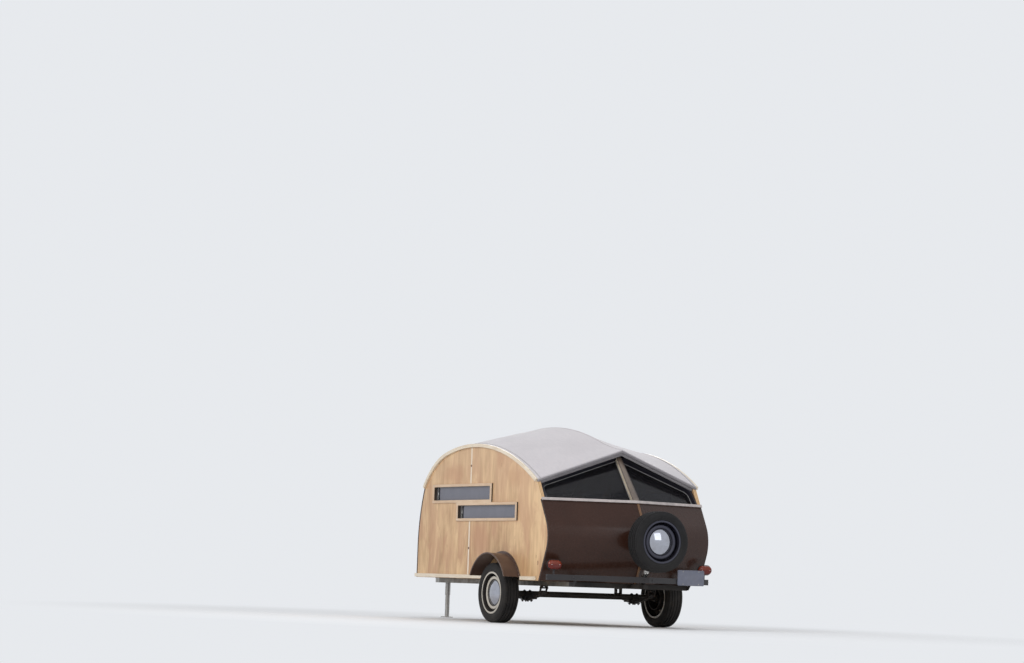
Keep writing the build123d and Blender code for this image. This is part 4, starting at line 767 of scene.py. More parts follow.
def axesFor(normal):
    out = Vector(normal).normalized()
    side = Vector((0, 0, 1)).cross(out) if abs(out.z) < 0.9 else Vector((1, 0, 0)).cross(out)
    side.normalize()
    return side, out.cross(side), out


tipRadius = 0.00005  # a ring on the axis keeps this much, so no face has zero area


def turnedAt(spot, normal, rows, sides=14, twist=0.0):  # rows of (radius, height) turned about a normal
    side, up, out = axesFor(normal)
    points = []
    for radius, height in rows:
        for k in range(sides):
            ring = spoke(2 * math.pi * k / sides + twist, side, up)
            points.append(Vector(spot) + max(radius, tipRadius) * ring + height * out)
    return points, ringFaces(len(rows), sides)


def blockAt(centre, along, across, size):  # length along, width across, height on the third axis
    along, across = Vector(along).normalized(), Vector(across).normalized()
    up = along.cross(across)
    points = []
    for k in (-0.5, 0.5):
        for i, j in ((-0.5, -0.5), (0.5, -0.5), (0.5, 0.5), (-0.5, 0.5)):
            points.append(Vector(centre) + i * size[0] * along + j * size[1] * across + k * size[2] * up)
    return points, [(3, 2, 1, 0), (4, 5, 6, 7), (0, 1, 5, 4), (1, 2, 6, 5), (2, 3, 7, 6), (3, 0, 4, 7)]


def domeRows(radius, height):
    return [(radius, -0.001), (radius, 0.22 * height), (0.9 * radius, 0.6 * height), (0.6 * radius, 0.9 * height),
            (0.0, height)]


def screwAt(spot, normal, radius=0.004, height=0.002):
    return turnedAt(spot, normal, domeRows(radius, height), 12)


def boltAt(spot, normal, radius=0.008, height=0.006, twist=0.0):  # washer, hexagon and the bolt's end
    washer = turnedAt(spot, normal, [(1.45 * radius, -0.001), (1.45 * radius, 0.0012), (1.35 * radius, 0.0018)], 18)
    hexagon = turnedAt(spot, normal, [(radius, 0.001), (radius, 0.85 * height), (0.86 * radius, height)], 6, twist)
    end = turnedAt(spot, normal, domeRows(0.45 * radius, 1.35 * height), 10)
    return gather([washer, hexagon, end])


def stitchesAlong(path, normals, length=0.005, gap=0.0035, thick=0.0009):  # short raised threads on a path
    parts = []
    travelled, wanted = 0.0, 0.0
    for i in range(len(path) - 1):
        start, end = Vector(path[i]), Vector(path[i + 1])
        run = (end - start).length
        while wanted < travelled + run:
            spot = start.lerp(end, (wanted - travelled) / run)
            ahead = (end - start).normalized()
            parts.append(blockAt(spot, ahead, Vector(normals[i]).cross(ahead), (length, thick, thick)))
            wanted += length + gap
        travelled += run
    return gather(parts)


def roundedRing(cx, cy, width, height, radius, steps=8):  # rounded rectangle as points in a plane
    ring = []
    for sx, sy, first in ((1, 1, 0), (-1, 1, 90), (-1, -1, 180), (1, -1, 270)):
        for k in range(steps + 1):
            turn = math.radians(first + 90 * k / steps)
            ring.append((cx + sx * (width / 2 - radius) + radius * math.cos(turn),
                         cy + sy * (height / 2 - radius) + radius * math.sin(turn)))
    return ring


# roof: one stretched sheet over the ridge, with its hems, edge tapes and seams

roofTrim = {"halfWidth": wallFace, "rows": 150, "columns": 64, "rearArch": -0.682, "rearRidge": -0.750,
            "frontArch": 1.8222, "frontRidge": 2.1222, "edge": 0.9094, "thick": 0.0112,
            "bows": (-0.66, -0.250, 0.480, 1.250, 2.05), "sag": 0.0028, "ripple": 0.0016,
            "tape": 0.030, "tapeThick": 0.0014, "tapeLift": 0.0012, "piping": 0.0022,
            "stitchIn": 0.022, "stitchLift": 0.0022, "seam": 0.012, "seamThick": 0.0010, "seamStitch": 0.009,
            "seamLift": 0.0016, "hem": 0.017, "hemSteps": 70, "hemEnds": ((-0.665, 0.910, 1.406), (-0.733, 0.0, 1.735)),
            "flap": (0.008, 0.041), "flapThick": 0.0028, "flapWave": 0.0016, "welt": 0.0055, "weltSteps": 60,
            "cut": (2.05, 3.35), "cutArea": 6.08}  # cover's volume over its 12 mm is 5.42, and 0.66 for the hems
roofSurface = surfaceOf("roof_cover")


def roofX(share, y):
    across = abs(y) / roofTrim["halfWidth"]
    rear = roofTrim["rearRidge"] + (roofTrim["rearArch"] - roofTrim["rearRidge"]) * across
    front = roofTrim["frontRidge"] + (roofTrim["frontArch"] - roofTrim["frontRidge"]) * across
    return axleX + rear + (front - rear) * share


def roofDrop(share, y):  # height of the CAD roof, read by a ray from above
    x = roofX(min(max(share, 0.0004), 0.9992), y)
    y = min(max(y, -roofTrim["edge"]), roofTrim["edge"])
    return roofSurface.ray_cast(Vector((x, y, 3.0)), Vector((0, 0, -1)))[0].z


def rowShare(i):  # rows crowd together over the steep nose
    t = i / roofTrim["rows"]
    return t + 0.10 * math.sin(math.pi * t) * t


roofRows = [[roofDrop(rowShare(i), part * roofTrim["halfWidth"]) for part in (0.0, 0.5, 1.0)]
            for i in range(roofTrim["rows"] + 1)]


def roofPoint(share, y, lift=0.0):  # smooth crown between arch and ridge, with a little sag between the bows
    place = min(max(share, 0.0), 1.0)
    low, high = 0, roofTrim["rows"]
    while high - low > 1:
        middle = (low + high) // 2
        low, high = (middle, high) if rowShare(middle) <= place else (low, middle)
    blend = (place - rowShare(low)) / (rowShare(high) - rowShare(low))
    ridge, crown, arch = (a + (b - a) * blend for a, b in zip(roofRows[low], roofRows[high]))
    t = abs(y) / roofTrim["halfWidth"]
    z = ridge * (1 - t) * (1 - 2 * t) + crown * 4 * t * (1 - t) + arch * t * (2 * t - 1)
    x = roofX(place, y)
    bows = roofTrim["bows"]
    swell = 0.0
    for a, b in zip(bows, bows[1:]):
        if a <= x - axleX < b:
            swell = math.sin(math.pi * (x - axleX - a) / (b - a)) ** 2
    fold = noise.noise(Vector((x * 1.7, y * 5.0, 0.4))) + 0.5 * noise.noise(Vector((x * 4.0 + y * 3.0, y * 9.0, 2.2)))
    slack = math.sin(math.pi * min(t, 1.0)) ** 0.7 * math.sin(math.pi * place) ** 0.5
    return Vector((x, y, z + lift + slack * (roofTrim["ripple"] * fold - roofTrim["sag"] * swell)))


def roofNormal(share, y):
    step = 0.01
    along = roofPoint(min(share + step, 1), y) - roofPoint(max(share - step, 0), y)
    inner = y - math.copysign(0.02, y) if abs(y) > 0.03 else y
    across = roofPoint(share, max(y, inner) + 0.004) - roofPoint(share, min(y, inner) - 0.004)
    return along.cross(across).normalized()


def makeRoof():
    half, count, columns = roofTrim["halfWidth"], roofTrim["rows"], roofTrim["columns"]
    ys = [half * math.copysign(abs(t) ** 0.92, t) for t in (2 * k / columns - 1 for k in range(columns + 1))]
    shares = [rowShare(i) for i in range(count + 1)]
    points = [roofPoint(s, y) for s in shares for y in ys]
    roof = makePiece("roofSheet", points, gridFaces(count + 1, columns + 1), "canvas", slot="roof_cloth", sharp=80)
    thicken(roof, roofTrim["thick"], -1)
    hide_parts("roof_cover")
    extras = []
    for side, word in leftRight:
        edge, inner = side * (half - 0.0006), side * (half - roofTrim["tape"])
        normals = [roofNormal(s, inner) for s in shares]
        strips = [[roofPoint(s, y) + roofTrim["tapeLift"] * n for s, n in zip(shares, normals)] for y in (edge, inner)]
        tape = makePiece("edgeTape" + word, [p for pair in zip(*strips) for p in pair],
                         gridFaces(count + 1, 2, True, side < 0), "canvas", slot="roof_cloth")
        thicken(tape, roofTrim["tapeThick"])
        piping = makePiece("edgePiping" + word, *tubeAlong(strips[1], roofTrim["piping"], 8), "hemCanvas",
                           slot="roof_cloth")
        y = side * (half - roofTrim["stitchIn"])
        thread = [roofPoint(s, y) + roofTrim["stitchLift"] * n for s, n in zip(shares, normals)]
        stitches = makePiece("edgeStitches" + word, *stitchesAlong(thread, normals), "thread", slot="roof_cloth")
        extras += [tape, piping, stitches]
    seamRow = ((-roofTrim["seam"], 0.0006), (0, roofTrim["seamLift"]), (roofTrim["seam"], 0.0006))
    flat = [roofPoint(s, y, lift) for s in shares for y, lift in seamRow]
    seam = makePiece("ridgeSeam", flat, gridFaces(count + 1, 3), "canvas", slot="roof_cloth", sharp=60)
    thicken(seam, roofTrim["seamThick"])
    extras.append(seam)
    steps = roofTrim["hemSteps"]
    upper, lower = roofTrim["flap"]
    for side, word in leftRight:
        thread = [roofPoint(s, side * roofTrim["seamStitch"], roofTrim["seamLift"]) for s in shares]
        stitches = makePiece("ridgeStitches" + word, *stitchesAlong(thread, [(0, 0, 1)] * len(shares)), "thread",
                             slot="roof_cloth")
        low, top = (Vector((axleX + x, side * y, z)) for x, y, z in roofTrim["hemEnds"])
        path = [low.lerp(top, k / steps) for k in range(steps + 1)]
        girth = [roofTrim["hem"] * (1 - 0.03 * abs(noise.noise(Vector((0.0, k * 0.55, side * 3.0)))))
                 for k in range(steps + 1)]
        roll = makePiece("hemRoll" + word, *tubeAlong(path, girth, 20), "hemCanvas", slot="roof_cloth")
        rows = []
        for k, spot in enumerate(path):
            wave = roofTrim["flapWave"] * noise.noise(Vector((k * 0.21, 0.0, side * 7.0)))
            rows += [spot - Vector((-0.002, 0, upper)), spot - Vector((-0.004 - wave, 0, (upper + lower) / 2)),
                     spot - Vector((-0.008 - 2 * wave, 0, lower + wave))]
        flap = makePiece("hemFlap" + word, rows, gridFaces(steps + 1, 3, True, side < 0), "hemCanvas",
                         slot="roof_cloth")
        thicken(flap, roofTrim["flapThick"])
        extras += [stitches, roll, flap]
    many = roofTrim["weltSteps"]
    nose = [roofPoint(0.9965, y) + 0.001 * roofNormal(0.99, y) for y in
            (half * (2 * k / many - 1) for k in range(many + 1))]
    extras.append(makePiece("noseWelt", *tubeAlong(nose, roofTrim["welt"], 10), "hemCanvas", slot="roof_cloth"))
    return sum(p.area for p in roof.data.polygons)


print("roof sheet:", round(makeRoof(), 3), "square metres")


# tyres with tread blocks, raised rings on their walls

tyreTrim = {"radius": 0.297, "pitches": 70, "lean": 0.5, "slotDepth": 0.0060, "sides": 144, "halfTread": 0.0785,
            "columns": (0.0, 0.012, 0.15, 0.162, 0.50, 0.508, 0.575, 0.583),
            "slots": {1: (1, 1.0), 2: (5, 0.8), 3: (1, 0.5)}}  # by kind of row: the slot's first column, share of depth
treadRows = [  # along the axis, below the full radius, kind: 0 groove, 1 shoulder block, 2 middle rib, 3 centre rib
    (0.0785, 0.0135, 1), (0.0768, 0.0068, 1), (0.0725, 0.0030, 1), (0.0660, 0.0016, 1), (0.0515, 0.0009, 1),
    (0.0508, 0.0084, 0), (0.0437, 0.0084, 0), (0.0430, 0.0006, 2), (0.0320, 0.0004, 2), (0.0212, 0.0002, 2),
    (0.0205, 0.0077, 0), (0.0137, 0.0077, 0), (0.0130, 0.0001, 3), (0.0, 0.0, 3)]
wallRows = [  # along the axis, radius
    (0.0785, 0.2835), (0.0812, 0.2795), (0.0830, 0.2765), (0.0848, 0.2763), (0.0862, 0.2735), (0.0859, 0.2732),
    (0.0882, 0.2680), (0.0903, 0.2610), (0.0915, 0.2560), (0.0923, 0.2500), (0.0920, 0.2440), (0.0912, 0.2390),
    (0.0916, 0.2380), (0.0912, 0.2335), (0.0902, 0.2326), (0.0885, 0.2265), (0.0862, 0.2195), (0.0860, 0.2150),
    (0.0835, 0.2122), (0.0790, 0.2105), (0.0745, 0.2098), (0.0740, 0.1985)]


def makeTyre(name, node, centre, outward, body):
    out = Vector(outward)
    level = Vector((0, 0, 1)).cross(out).normalized()
    up = out.cross(level)
    sides, columns = tyreTrim["sides"], tyreTrim["columns"]

    def at(u, radius, turn):  # turn in whole turns
        return Vector(centre) + u * out + radius * spoke(2 * math.pi * turn, level, up)

    def wall(profile, mirrored=False):
        ring = [at(u, radius, k / sides) for u, radius in profile for k in range(sides)]
        faces = ringFaces(len(profile), sides, capped=False)
        return ring, [f[::-1] for f in faces] if mirrored else faces

    rows = treadRows + [(-u, drop, kind) for u, drop, kind in treadRows[-2::-1]]
    turns = [(p + c) / tyreTrim["pitches"] for p in range(tyreTrim["pitches"]) for c in columns]
    points = []
    for u, drop, kind in rows:
        shift = tyreTrim["lean"] * abs(u) / tyreTrim["halfTread"] / tyreTrim["pitches"]
        first, share = tyreTrim["slots"].get(kind, (0, 0.0))
        for k, turn in enumerate(turns):
            slotted = u and k % len(columns) in (first, first + 1)
            depth = drop + (share * tyreTrim["slotDepth"] if slotted else 0.0)
            points.append(at(u, tyreTrim["radius"] - depth, turn + shift))
    band = (points, [f[::-1] for f in ringFaces(len(rows), len(turns), capped=False)])
    u, radius = wallRows[-1]
    parts = [band, wall(wallRows), wall([(-u, r) for u, r in wallRows], True), wall([(u, radius), (-u, radius)])]
    tyre = makePiece(name, *gather(parts), "tyreRubber", body=body, slot="tyre_rubber", sharp=32)
    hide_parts(node)


spareAt = Vector((axleX - 1.490, 0, spareAxis[2]))
wheelY = 0.944
for side, word in leftRight:
    makeTyre("treadedTyre" + word, "tyre_" + word.lower(), (axleX, side * wheelY, hubZ), (0, side, 0),
             word.lower() + "_road_wheel")
makeTyre("treadedTyreSpare", "spare_tyre", spareAt, (-1, 0, 0), "trailer")
print("three tyres with", tyreTrim["pitches"], "pitches each")


# gable panes: grey gaskets that follow the openings

gableTrim = {"beltX": -1.9618, "beltZ": 1.226, "lean": 0.8693, "rake": 0.32967, "roundOff": 0.075, "paneIn": 0.046,
             "corners": ((0.040, 1.248), (0.847, 1.248), (0.847, 1.3836), (0.030, 1.6717)), "gasket": 0.0042,
             "sunk": 0.0025, "lip": 0.0022, "lipOut": 0.007}


def gablePoint(y, z, depth, side):  # on the left pane's plane, moved inward square to it, or its mirror image
    square = Vector((-1, gableTrim["rake"], gableTrim["lean"])).normalized()
    spot = Vector((gableTrim["beltX"] + gableTrim["lean"] * (z - gableTrim["beltZ"]) + gableTrim["rake"] * y, y, z))
    spot -= depth * square
    return Vector((spot.x, side * spot.y, spot.z))


def roundedLoop(corners, radii, steps=9):  # polygon with each corner turned into an arc
    loop = []
    for i, corner in enumerate(corners):
        here = Vector(corner)
        before, after = Vector(corners[i - 1]) - here, Vector(corners[(i + 1) % len(corners)]) - here
        bend = before.angle(after)
        cut = radii[i] / math.tan(bend / 2)
        start, end = here + cut * before.normalized(), here + cut * after.normalized()
        middle = here + (before.normalized() + after.normalized()).normalized() * radii[i] / math.sin(bend / 2)
        for k in range(steps + 1):
            arm = (start - middle).lerp(end - middle, k / steps)
            loop.append(middle + arm.normalized() * radii[i])
    return loop


def shrunk(corners, amount):  # corners moved in along both sides
    inner = []
    for i, corner in enumerate(corners):
        here = Vector(corner)
        before = (Vector(corners[i - 1]) - here).normalized()
        after = (Vector(corners[(i + 1) % len(corners)]) - here).normalized()
        inner.append(here + (before + after) * amount / abs(before.cross(after)))
    return inner


def gableLoop(inward, more):
    return roundedLoop(shrunk(gableTrim["corners"], inward), (0.006, 0.008, gableTrim["roundOff"] + more, 0.006))


def makeGableTrim():
    inner, outer = gableLoop(gableTrim["gasket"] * 0.75, -0.004), gableLoop(-gableTrim["lipOut"], 0.006)
    for side, word in leftRight:
        path = [gablePoint(y, z, gableTrim["paneIn"] - gableTrim["sunk"], side) for y, z in inner]
        makePiece("gableGasket" + word, *tubeAlong(path, gableTrim["gasket"], 10, closed=True), "seal",
                  slot="frame_metal")
        lip = [gablePoint(y, z, 0.0005, side) for y, z in outer]
        makePiece("gableReveal" + word, *tubeAlong(lip, gableTrim["lip"], 8, closed=True), "gableDark",
                  slot="black_steel")


makeGableTrim()


# side windows: gaskets, and the sliding sash at the forward end of each pane

windowTrim = {"rail": 0.028, "stile": 0.040, "paneIn": 0.022, "gasket": 0.0028, "sash": 0.009, "channel": 0.058,
              "sashIn": 0.032, "proud": 0.014, "screwIn": (0.016, 0.014), "pull": 0.016, "panes": (
                  ("leftFront", 0.265, 1.603, 1.203, 1.397, 1, "trailer"),
                  ("leftRear", -0.290, 1.043, 1.015, 1.203, 1, "trailer"),
                  ("rightRear", -0.290, 0.372, 1.203, 1.397, -1, "trailer"),
                  ("rightFront", 1.130, 1.603, 1.203, 1.397, -1, "trailer"),
                  ("door", 0.505, 0.995, 1.190, 1.410, -1, "side_door"))}


def makeWindowTrim():
    face = wallFace - windowTrim["paneIn"]
    insetX, insetZ = windowTrim["screwIn"]
    gaskets, heads, channels, sashes = {}, {}, [], []
    for name, rear, front, foot, head, side, body in windowTrim["panes"]:
        x0, x1 = axleX + rear + windowTrim["stile"], axleX + front - windowTrim["stile"]
        z0, z1 = foot + windowTrim["rail"], head - windowTrim["rail"]
        middleX, middleZ = (x0 + x1) / 2, (z0 + z1) / 2
        loop = roundedRing(middleX, middleZ, x1 - x0 - 0.003, z1 - z0 - 0.003, 0.004, 2)
        path = [(x, side * (face + 0.0016), z) for x, z in loop]
        gaskets.setdefault(body, []).append(tubeAlong(path, windowTrim["gasket"], 8, closed=True))
        if name != "door":
            sashX, tall = x1 - windowTrim["sashIn"], z1 - z0 - 0.006
            for pile, out, wide, thick in ((channels, 0.001, windowTrim["channel"], 0.003),
                                           (sashes, 0.004, windowTrim["sash"], 0.009)):
                pile.append(blockAt((sashX, side * (face + out), middleZ), (1, 0, 0), (0, 0, 1), (wide, tall, thick)))
            sashes.append(tubeAlong([(sashX - 0.010, side * (face + 0.006), middleZ + dz)
                                     for dz in (-windowTrim["pull"], windowTrim["pull"])], 0.0035, 10))
        heads.setdefault(body, []).extend(
            screwAt((x, side * (wallFace + windowTrim["proud"]), z), (0, side, 0))
            for x in (axleX + rear + insetX, middleX, axleX + front - insetX) for z in (foot + insetZ, head - insetZ))
    for body, word in (("trailer", "Wall"), ("side_door", "Door")):
        makePiece("paneGaskets" + word, *gather(gaskets[body]), "seal", body=body, slot="tyre_rubber")
        makePiece("windowScrews" + word, *gather(heads[body]), "alloy", body=body, slot="bare_steel")
    makePiece("slidingChannels", *gather(channels), "gripRubber", slot="tyre_rubber")
    makePiece("slidingSashes", *gather(sashes), "alloy", slot="frame_metal")


makeWindowTrim()
print("gaskets and sashes made")


# walls: pale joint strips, plugs and the screws of the mouldings

wallTrim = {"jointX": 0.755, "jointWidth": 0.026, "jointProud": 0.0022, "moulding": 0.932, "sill": 0.928,
            "lowJoint": (0.4705, 1.0145), "upperFeet": (1.398, 1.563), "archDrop": 0.0325, "screw": 0.0038,
            "profile": ((-0.5, 0.0), (-0.5, 0.6), (-0.38, 1.0), (0.38, 1.0), (0.5, 0.6), (0.5, 0.0)),
            "screwStep": 0.24, "archScrewIn": 0.014, "sillZ": 0.452, "sillSpans": ((-0.725, -0.400), (0.420, 1.956)),
            "plugs": ((0.755, 1.580, 0.0125), (0.755, 0.740, 0.0125))}


def archFoot(x):  # underside of the arch moulding at an x from the axle
    rear, front = roofTrim["rearArch"], roofTrim["frontArch"]
    return roofPoint((x - rear) / (front - rear), roofTrim["edge"]).z - wallTrim["archDrop"]


def makeWallTrim():
    top = archFoot(wallTrim["jointX"])
    leftFoot, rightFoot = wallTrim["upperFeet"]
    strips = []
    for side, low, high in ((1, leftFoot, top), (1, *wallTrim["lowJoint"]), (-1, rightFoot, top)):
        ring = [Vector((axleX + wallTrim["jointX"] + side * a * wallTrim["jointWidth"],
                        side * (wallFace - 0.0005 + b * wallTrim["jointProud"]), z))
                for z in (low, high) for a, b in wallTrim["profile"]]
        strips.append((ring, ringFaces(2, len(wallTrim["profile"]))))
    makePiece("wallJointStrips", *gather(strips), "paleStrip", slot="cream_wood")
    plugs = [turnedAt((axleX + x, wallFace + 0.0015, z), (0, 1, 0),
                      [(r, 0), (r, 0.0012), (0.8 * r, 0.0022), (0, 0.0026)], 18) for x, z, r in wallTrim["plugs"]]
    makePiece("jointPlugs", *gather(plugs), "plugWood", slot="inner_wood")
    heads = []
    for side in (1, -1):
        run = 0.0
        spots = [roofPoint(k / 400, side * roofTrim["edge"]) for k in range(401)]
        for before, spot in zip(spots, spots[1:]):
            ahead = spot - before
            run += ahead.length
            if run >= wallTrim["screwStep"]:
                run = 0.0
                inward = Vector((0, side, 0)).cross(ahead).normalized() * -side
                inward = inward if inward.z < 0 else -inward
                head = spot + wallTrim["archScrewIn"] * inward
                heads.append(screwAt((head.x, side * wallTrim["moulding"], head.z), (0, side, 0), wallTrim["screw"]))
        for rear, front in wallTrim["sillSpans"]:
            many = max(2, round((front - rear) / wallTrim["screwStep"]))
            for k in range(many + 1):
                x = rear + 0.03 + (front - rear - 0.06) * k / many
                heads.append(screwAt((axleX + x, side * wallTrim["sill"], wallTrim["sillZ"]), (0, side, 0),
                                     wallTrim["screw"]))
    makePiece("mouldingScrews", *gather(heads), "alloy", slot="bare_steel")


makeWallTrim()


# mudguard rivets and belt rail screws

guardTrim = {"arch": 0.421, "centreZ": 0.283, "face": 0.915, "halfArc": 64, "rivets": 11, "rivet": (0.0045, 0.0028),
             "beltSlope": 0.5890, "beltProud": 0.0152, "beltScrews": 5, "firstScrew": 0.09, "screwStep": 0.185}


def makeGuardTrim():
    rivets = []
    for side in (1, -1):
        for k in range(guardTrim["rivets"]):
            turn = math.radians(guardTrim["halfArc"] * (2 * k / (guardTrim["rivets"] - 1) - 1))
            spot = (axleX + guardTrim["arch"] * math.sin(turn), side * guardTrim["face"],
                    guardTrim["centreZ"] + guardTrim["arch"] * math.cos(turn))
            rivets.append(screwAt(spot, (0, side, 0), *guardTrim["rivet"]))
    makePiece("guardRivets", *gather(rivets), "guardBrown", slot="brown_guard")
    heads = []
    rake = gableTrim["rake"]
    normal = Vector((-1, rake, guardTrim["beltSlope"])).normalized()
    for side in (1, -1):
        for k in range(guardTrim["beltScrews"]):
            y = guardTrim["firstScrew"] + guardTrim["screwStep"] * k
            spot = Vector((gableTrim["beltX"] + rake * y, y, gableTrim["beltZ"])) + guardTrim["beltProud"] * normal
            heads.append(screwAt((spot.x, side * spot.y, spot.z), (normal.x, side * normal.y, normal.z),
                                 wallTrim["screw"]))
    makePiece("beltScrews", *gather(heads), "alloy", slot="bare_steel")


makeGuardTrim()
print("wall strips, screws and rivets made")


# bumper, lamps and plate

rearTrim = {"seamX": -1.345, "slope": 0.42842, "lampY": 0.853, "lampZ": 0.590, "lampBack": -0.966, "lampWidth": 0.150,
            "lampHeight": 0.088, "plateY": -0.578, "plateZ": 0.506, "plateX": -1.168, "plateWidth": 0.305,
            "plateHeight": 0.152, "collarWidth": 0.052, "collar": (0.508, 0.566), "boltZ": 0.469,
            "boltYs": (0.050, 0.605, 0.685), "endBolt": (-0.938, 0.9205), "plateBolts": (0.09, 0.062)}


def makeRearTrim():
    out = Vector((-1, rearTrim["slope"], 0)).normalized()
    bolts = []
    for side in (1, -1):
        normal = Vector((out.x, side * out.y, 0))
        for y in rearTrim["boltYs"]:
            spot = Vector((axleX + rearTrim["seamX"] + rearTrim["slope"] * y, side * y, rearTrim["boltZ"]))
            bolts.append(turnedAt(spot, normal, domeRows(0.0105, 0.0055), 16))
        x, y = rearTrim["endBolt"]
        bolts.append(turnedAt((axleX + x, side * y, rearTrim["boltZ"]), (0, side, 0), domeRows(0.007, 0.004), 14))
    makePiece("bumperBolts", *gather(bolts), "bumperGrey", slot="grey_channel")
    post = surfaceOf("spare_carrier")
    foot, head = (post.ray_cast(Vector((-3.0, 0.004, z)), Vector((1, 0, 0)))[0] for z in rearTrim["collar"])
    along = (head - foot).normalized()
    square = along.cross(Vector((0, 1, 0))).normalized()
    square = square if square.x < 0 else -square
    middle, long, wide = (foot + head) / 2, (head - foot).length, rearTrim["collarWidth"]
    collar = [blockAt(Vector((middle.x, 0, middle.z)) + 0.003 * square, along, (0, 1, 0), (long, wide, 0.006))]
    for side in (1, -1):
        cheek = Vector((middle.x, side * (wide / 2 - 0.0015), middle.z)) - 0.014 * square
        collar.append(blockAt(cheek, along, (0, 1, 0), (long, 0.003, 0.034)))
        collar.append(boltAt(Vector((middle.x, side * 0.012, middle.z)) + 0.006 * square, square, 0.0055, 0.005))
    makePiece("carrierCollar", *gather(collar), "alloy", slot="bare_steel")
    x = axleX + rearTrim["lampBack"]
    wide, tall, z = rearTrim["lampWidth"], rearTrim["lampHeight"], rearTrim["lampZ"]
    reach = (wide - tall) / 2 + 0.012
    bezels, screws = [], []
    for side in (1, -1):
        centreY = side * rearTrim["lampY"]
        ring = roundedRing(centreY, z, wide + 0.004, tall + 0.004, tall / 2 + 0.0019, 12)
        bezels.append(tubeAlong([(x - 0.0035, *spot) for spot in ring], 0.0048, 10, closed=True))
        screws += [screwAt((x - 0.0416, centreY + shift, z), (-1, 0, 0), 0.0036) for shift in (-reach, reach)]
    makePiece("lampBezels", *gather(bezels), "gripRubber", slot="tyre_rubber")
    makePiece("lampScrews", *gather(screws), "alloy", slot="bare_steel")
    x, y, z = axleX + rearTrim["plateX"] - 0.003, rearTrim["plateY"], rearTrim["plateZ"]
    ring = roundedRing(y, z, rearTrim["plateWidth"] - 0.009, rearTrim["plateHeight"] - 0.009, 0.009, 6)
    makePiece("plateRim", *tubeAlong([(x + 0.0006, *spot) for spot in ring], 0.0021, 8, closed=True), "plateEnamel",
              slot="blank_plate")
    dy, dz = rearTrim["plateBolts"]
    corners = ((y - dy, z - dz), (y - dy, z + dz), (y + dy, z - dz), (y + dy, z + dz))
    bolts = [boltAt((x, *spot), (-1, 0, 0), 0.0045, 0.0035) for spot in corners]
    makePiece("plateBolts", *gather(bolts), "zinc", slot="bare_steel")


makeRearTrim()


# running gear: nuts, spring clips, weld beads, jack grip, valve stems

gearTrim = {"springY": 0.620, "nutX": 0.0358, "nutY": 0.0308, "nutZ": 0.2305, "pinOut": 0.0368,
            "pins": ((0.330, 0.318), (-0.330, 0.318), (-0.3496, 0.362)), "clipX": 0.150, "clipZ": 0.261,
            "bead": 0.0032, "railBeads": (0.5945, 0.382, 0.428), "railBead": 0.0026,
            "crossMembers": (-0.33, 0.48, 1.20, 1.92), "memberHalf": 0.0255,
            "beads": (((1.9455, 0.527, 0.4245), (1.9455, 0.593, 0.4245)),
                      ((2.93, 0.164, 0.4305), (3.188, 0.068, 0.4305)),
                      ((3.091, 0.037, 0.4385), (3.19, 0.0475, 0.4385))),
            "grip": (2.898, 0.716), "ribs": 23, "firstRib": 0.0835, "ribStep": 0.0038,
            "valve": (0.0052, 0.0042, 0.0036), "valveUp": 0.1765}

def weldBead(path, radius):
    fine = []
    for a, b in zip(path, path[1:]):
        a, b = Vector(a), Vector(b)
        steps = max(2, int((b - a).length / 0.004))
        fine += [a.lerp(b, k / steps) for k in range(steps)]
    fine.append(Vector(path[-1]))
    girth = [radius * (1 + 0.22 * math.sin(k * 2.1) + 0.15 * noise.noise(Vector((k * 0.7, 1.3, 0.0))))
             for k in range(len(fine))]
    return tubeAlong(fine, girth, 7)


def makeValve(word, root, middle, end, body):
    stem = [root, root + Vector(middle), root + Vector(end)]
    makePiece("valveStem" + word, *tubeAlong(stem, gearTrim["valve"], 10), "gripRubber", body=body, slot="tyre_rubber")


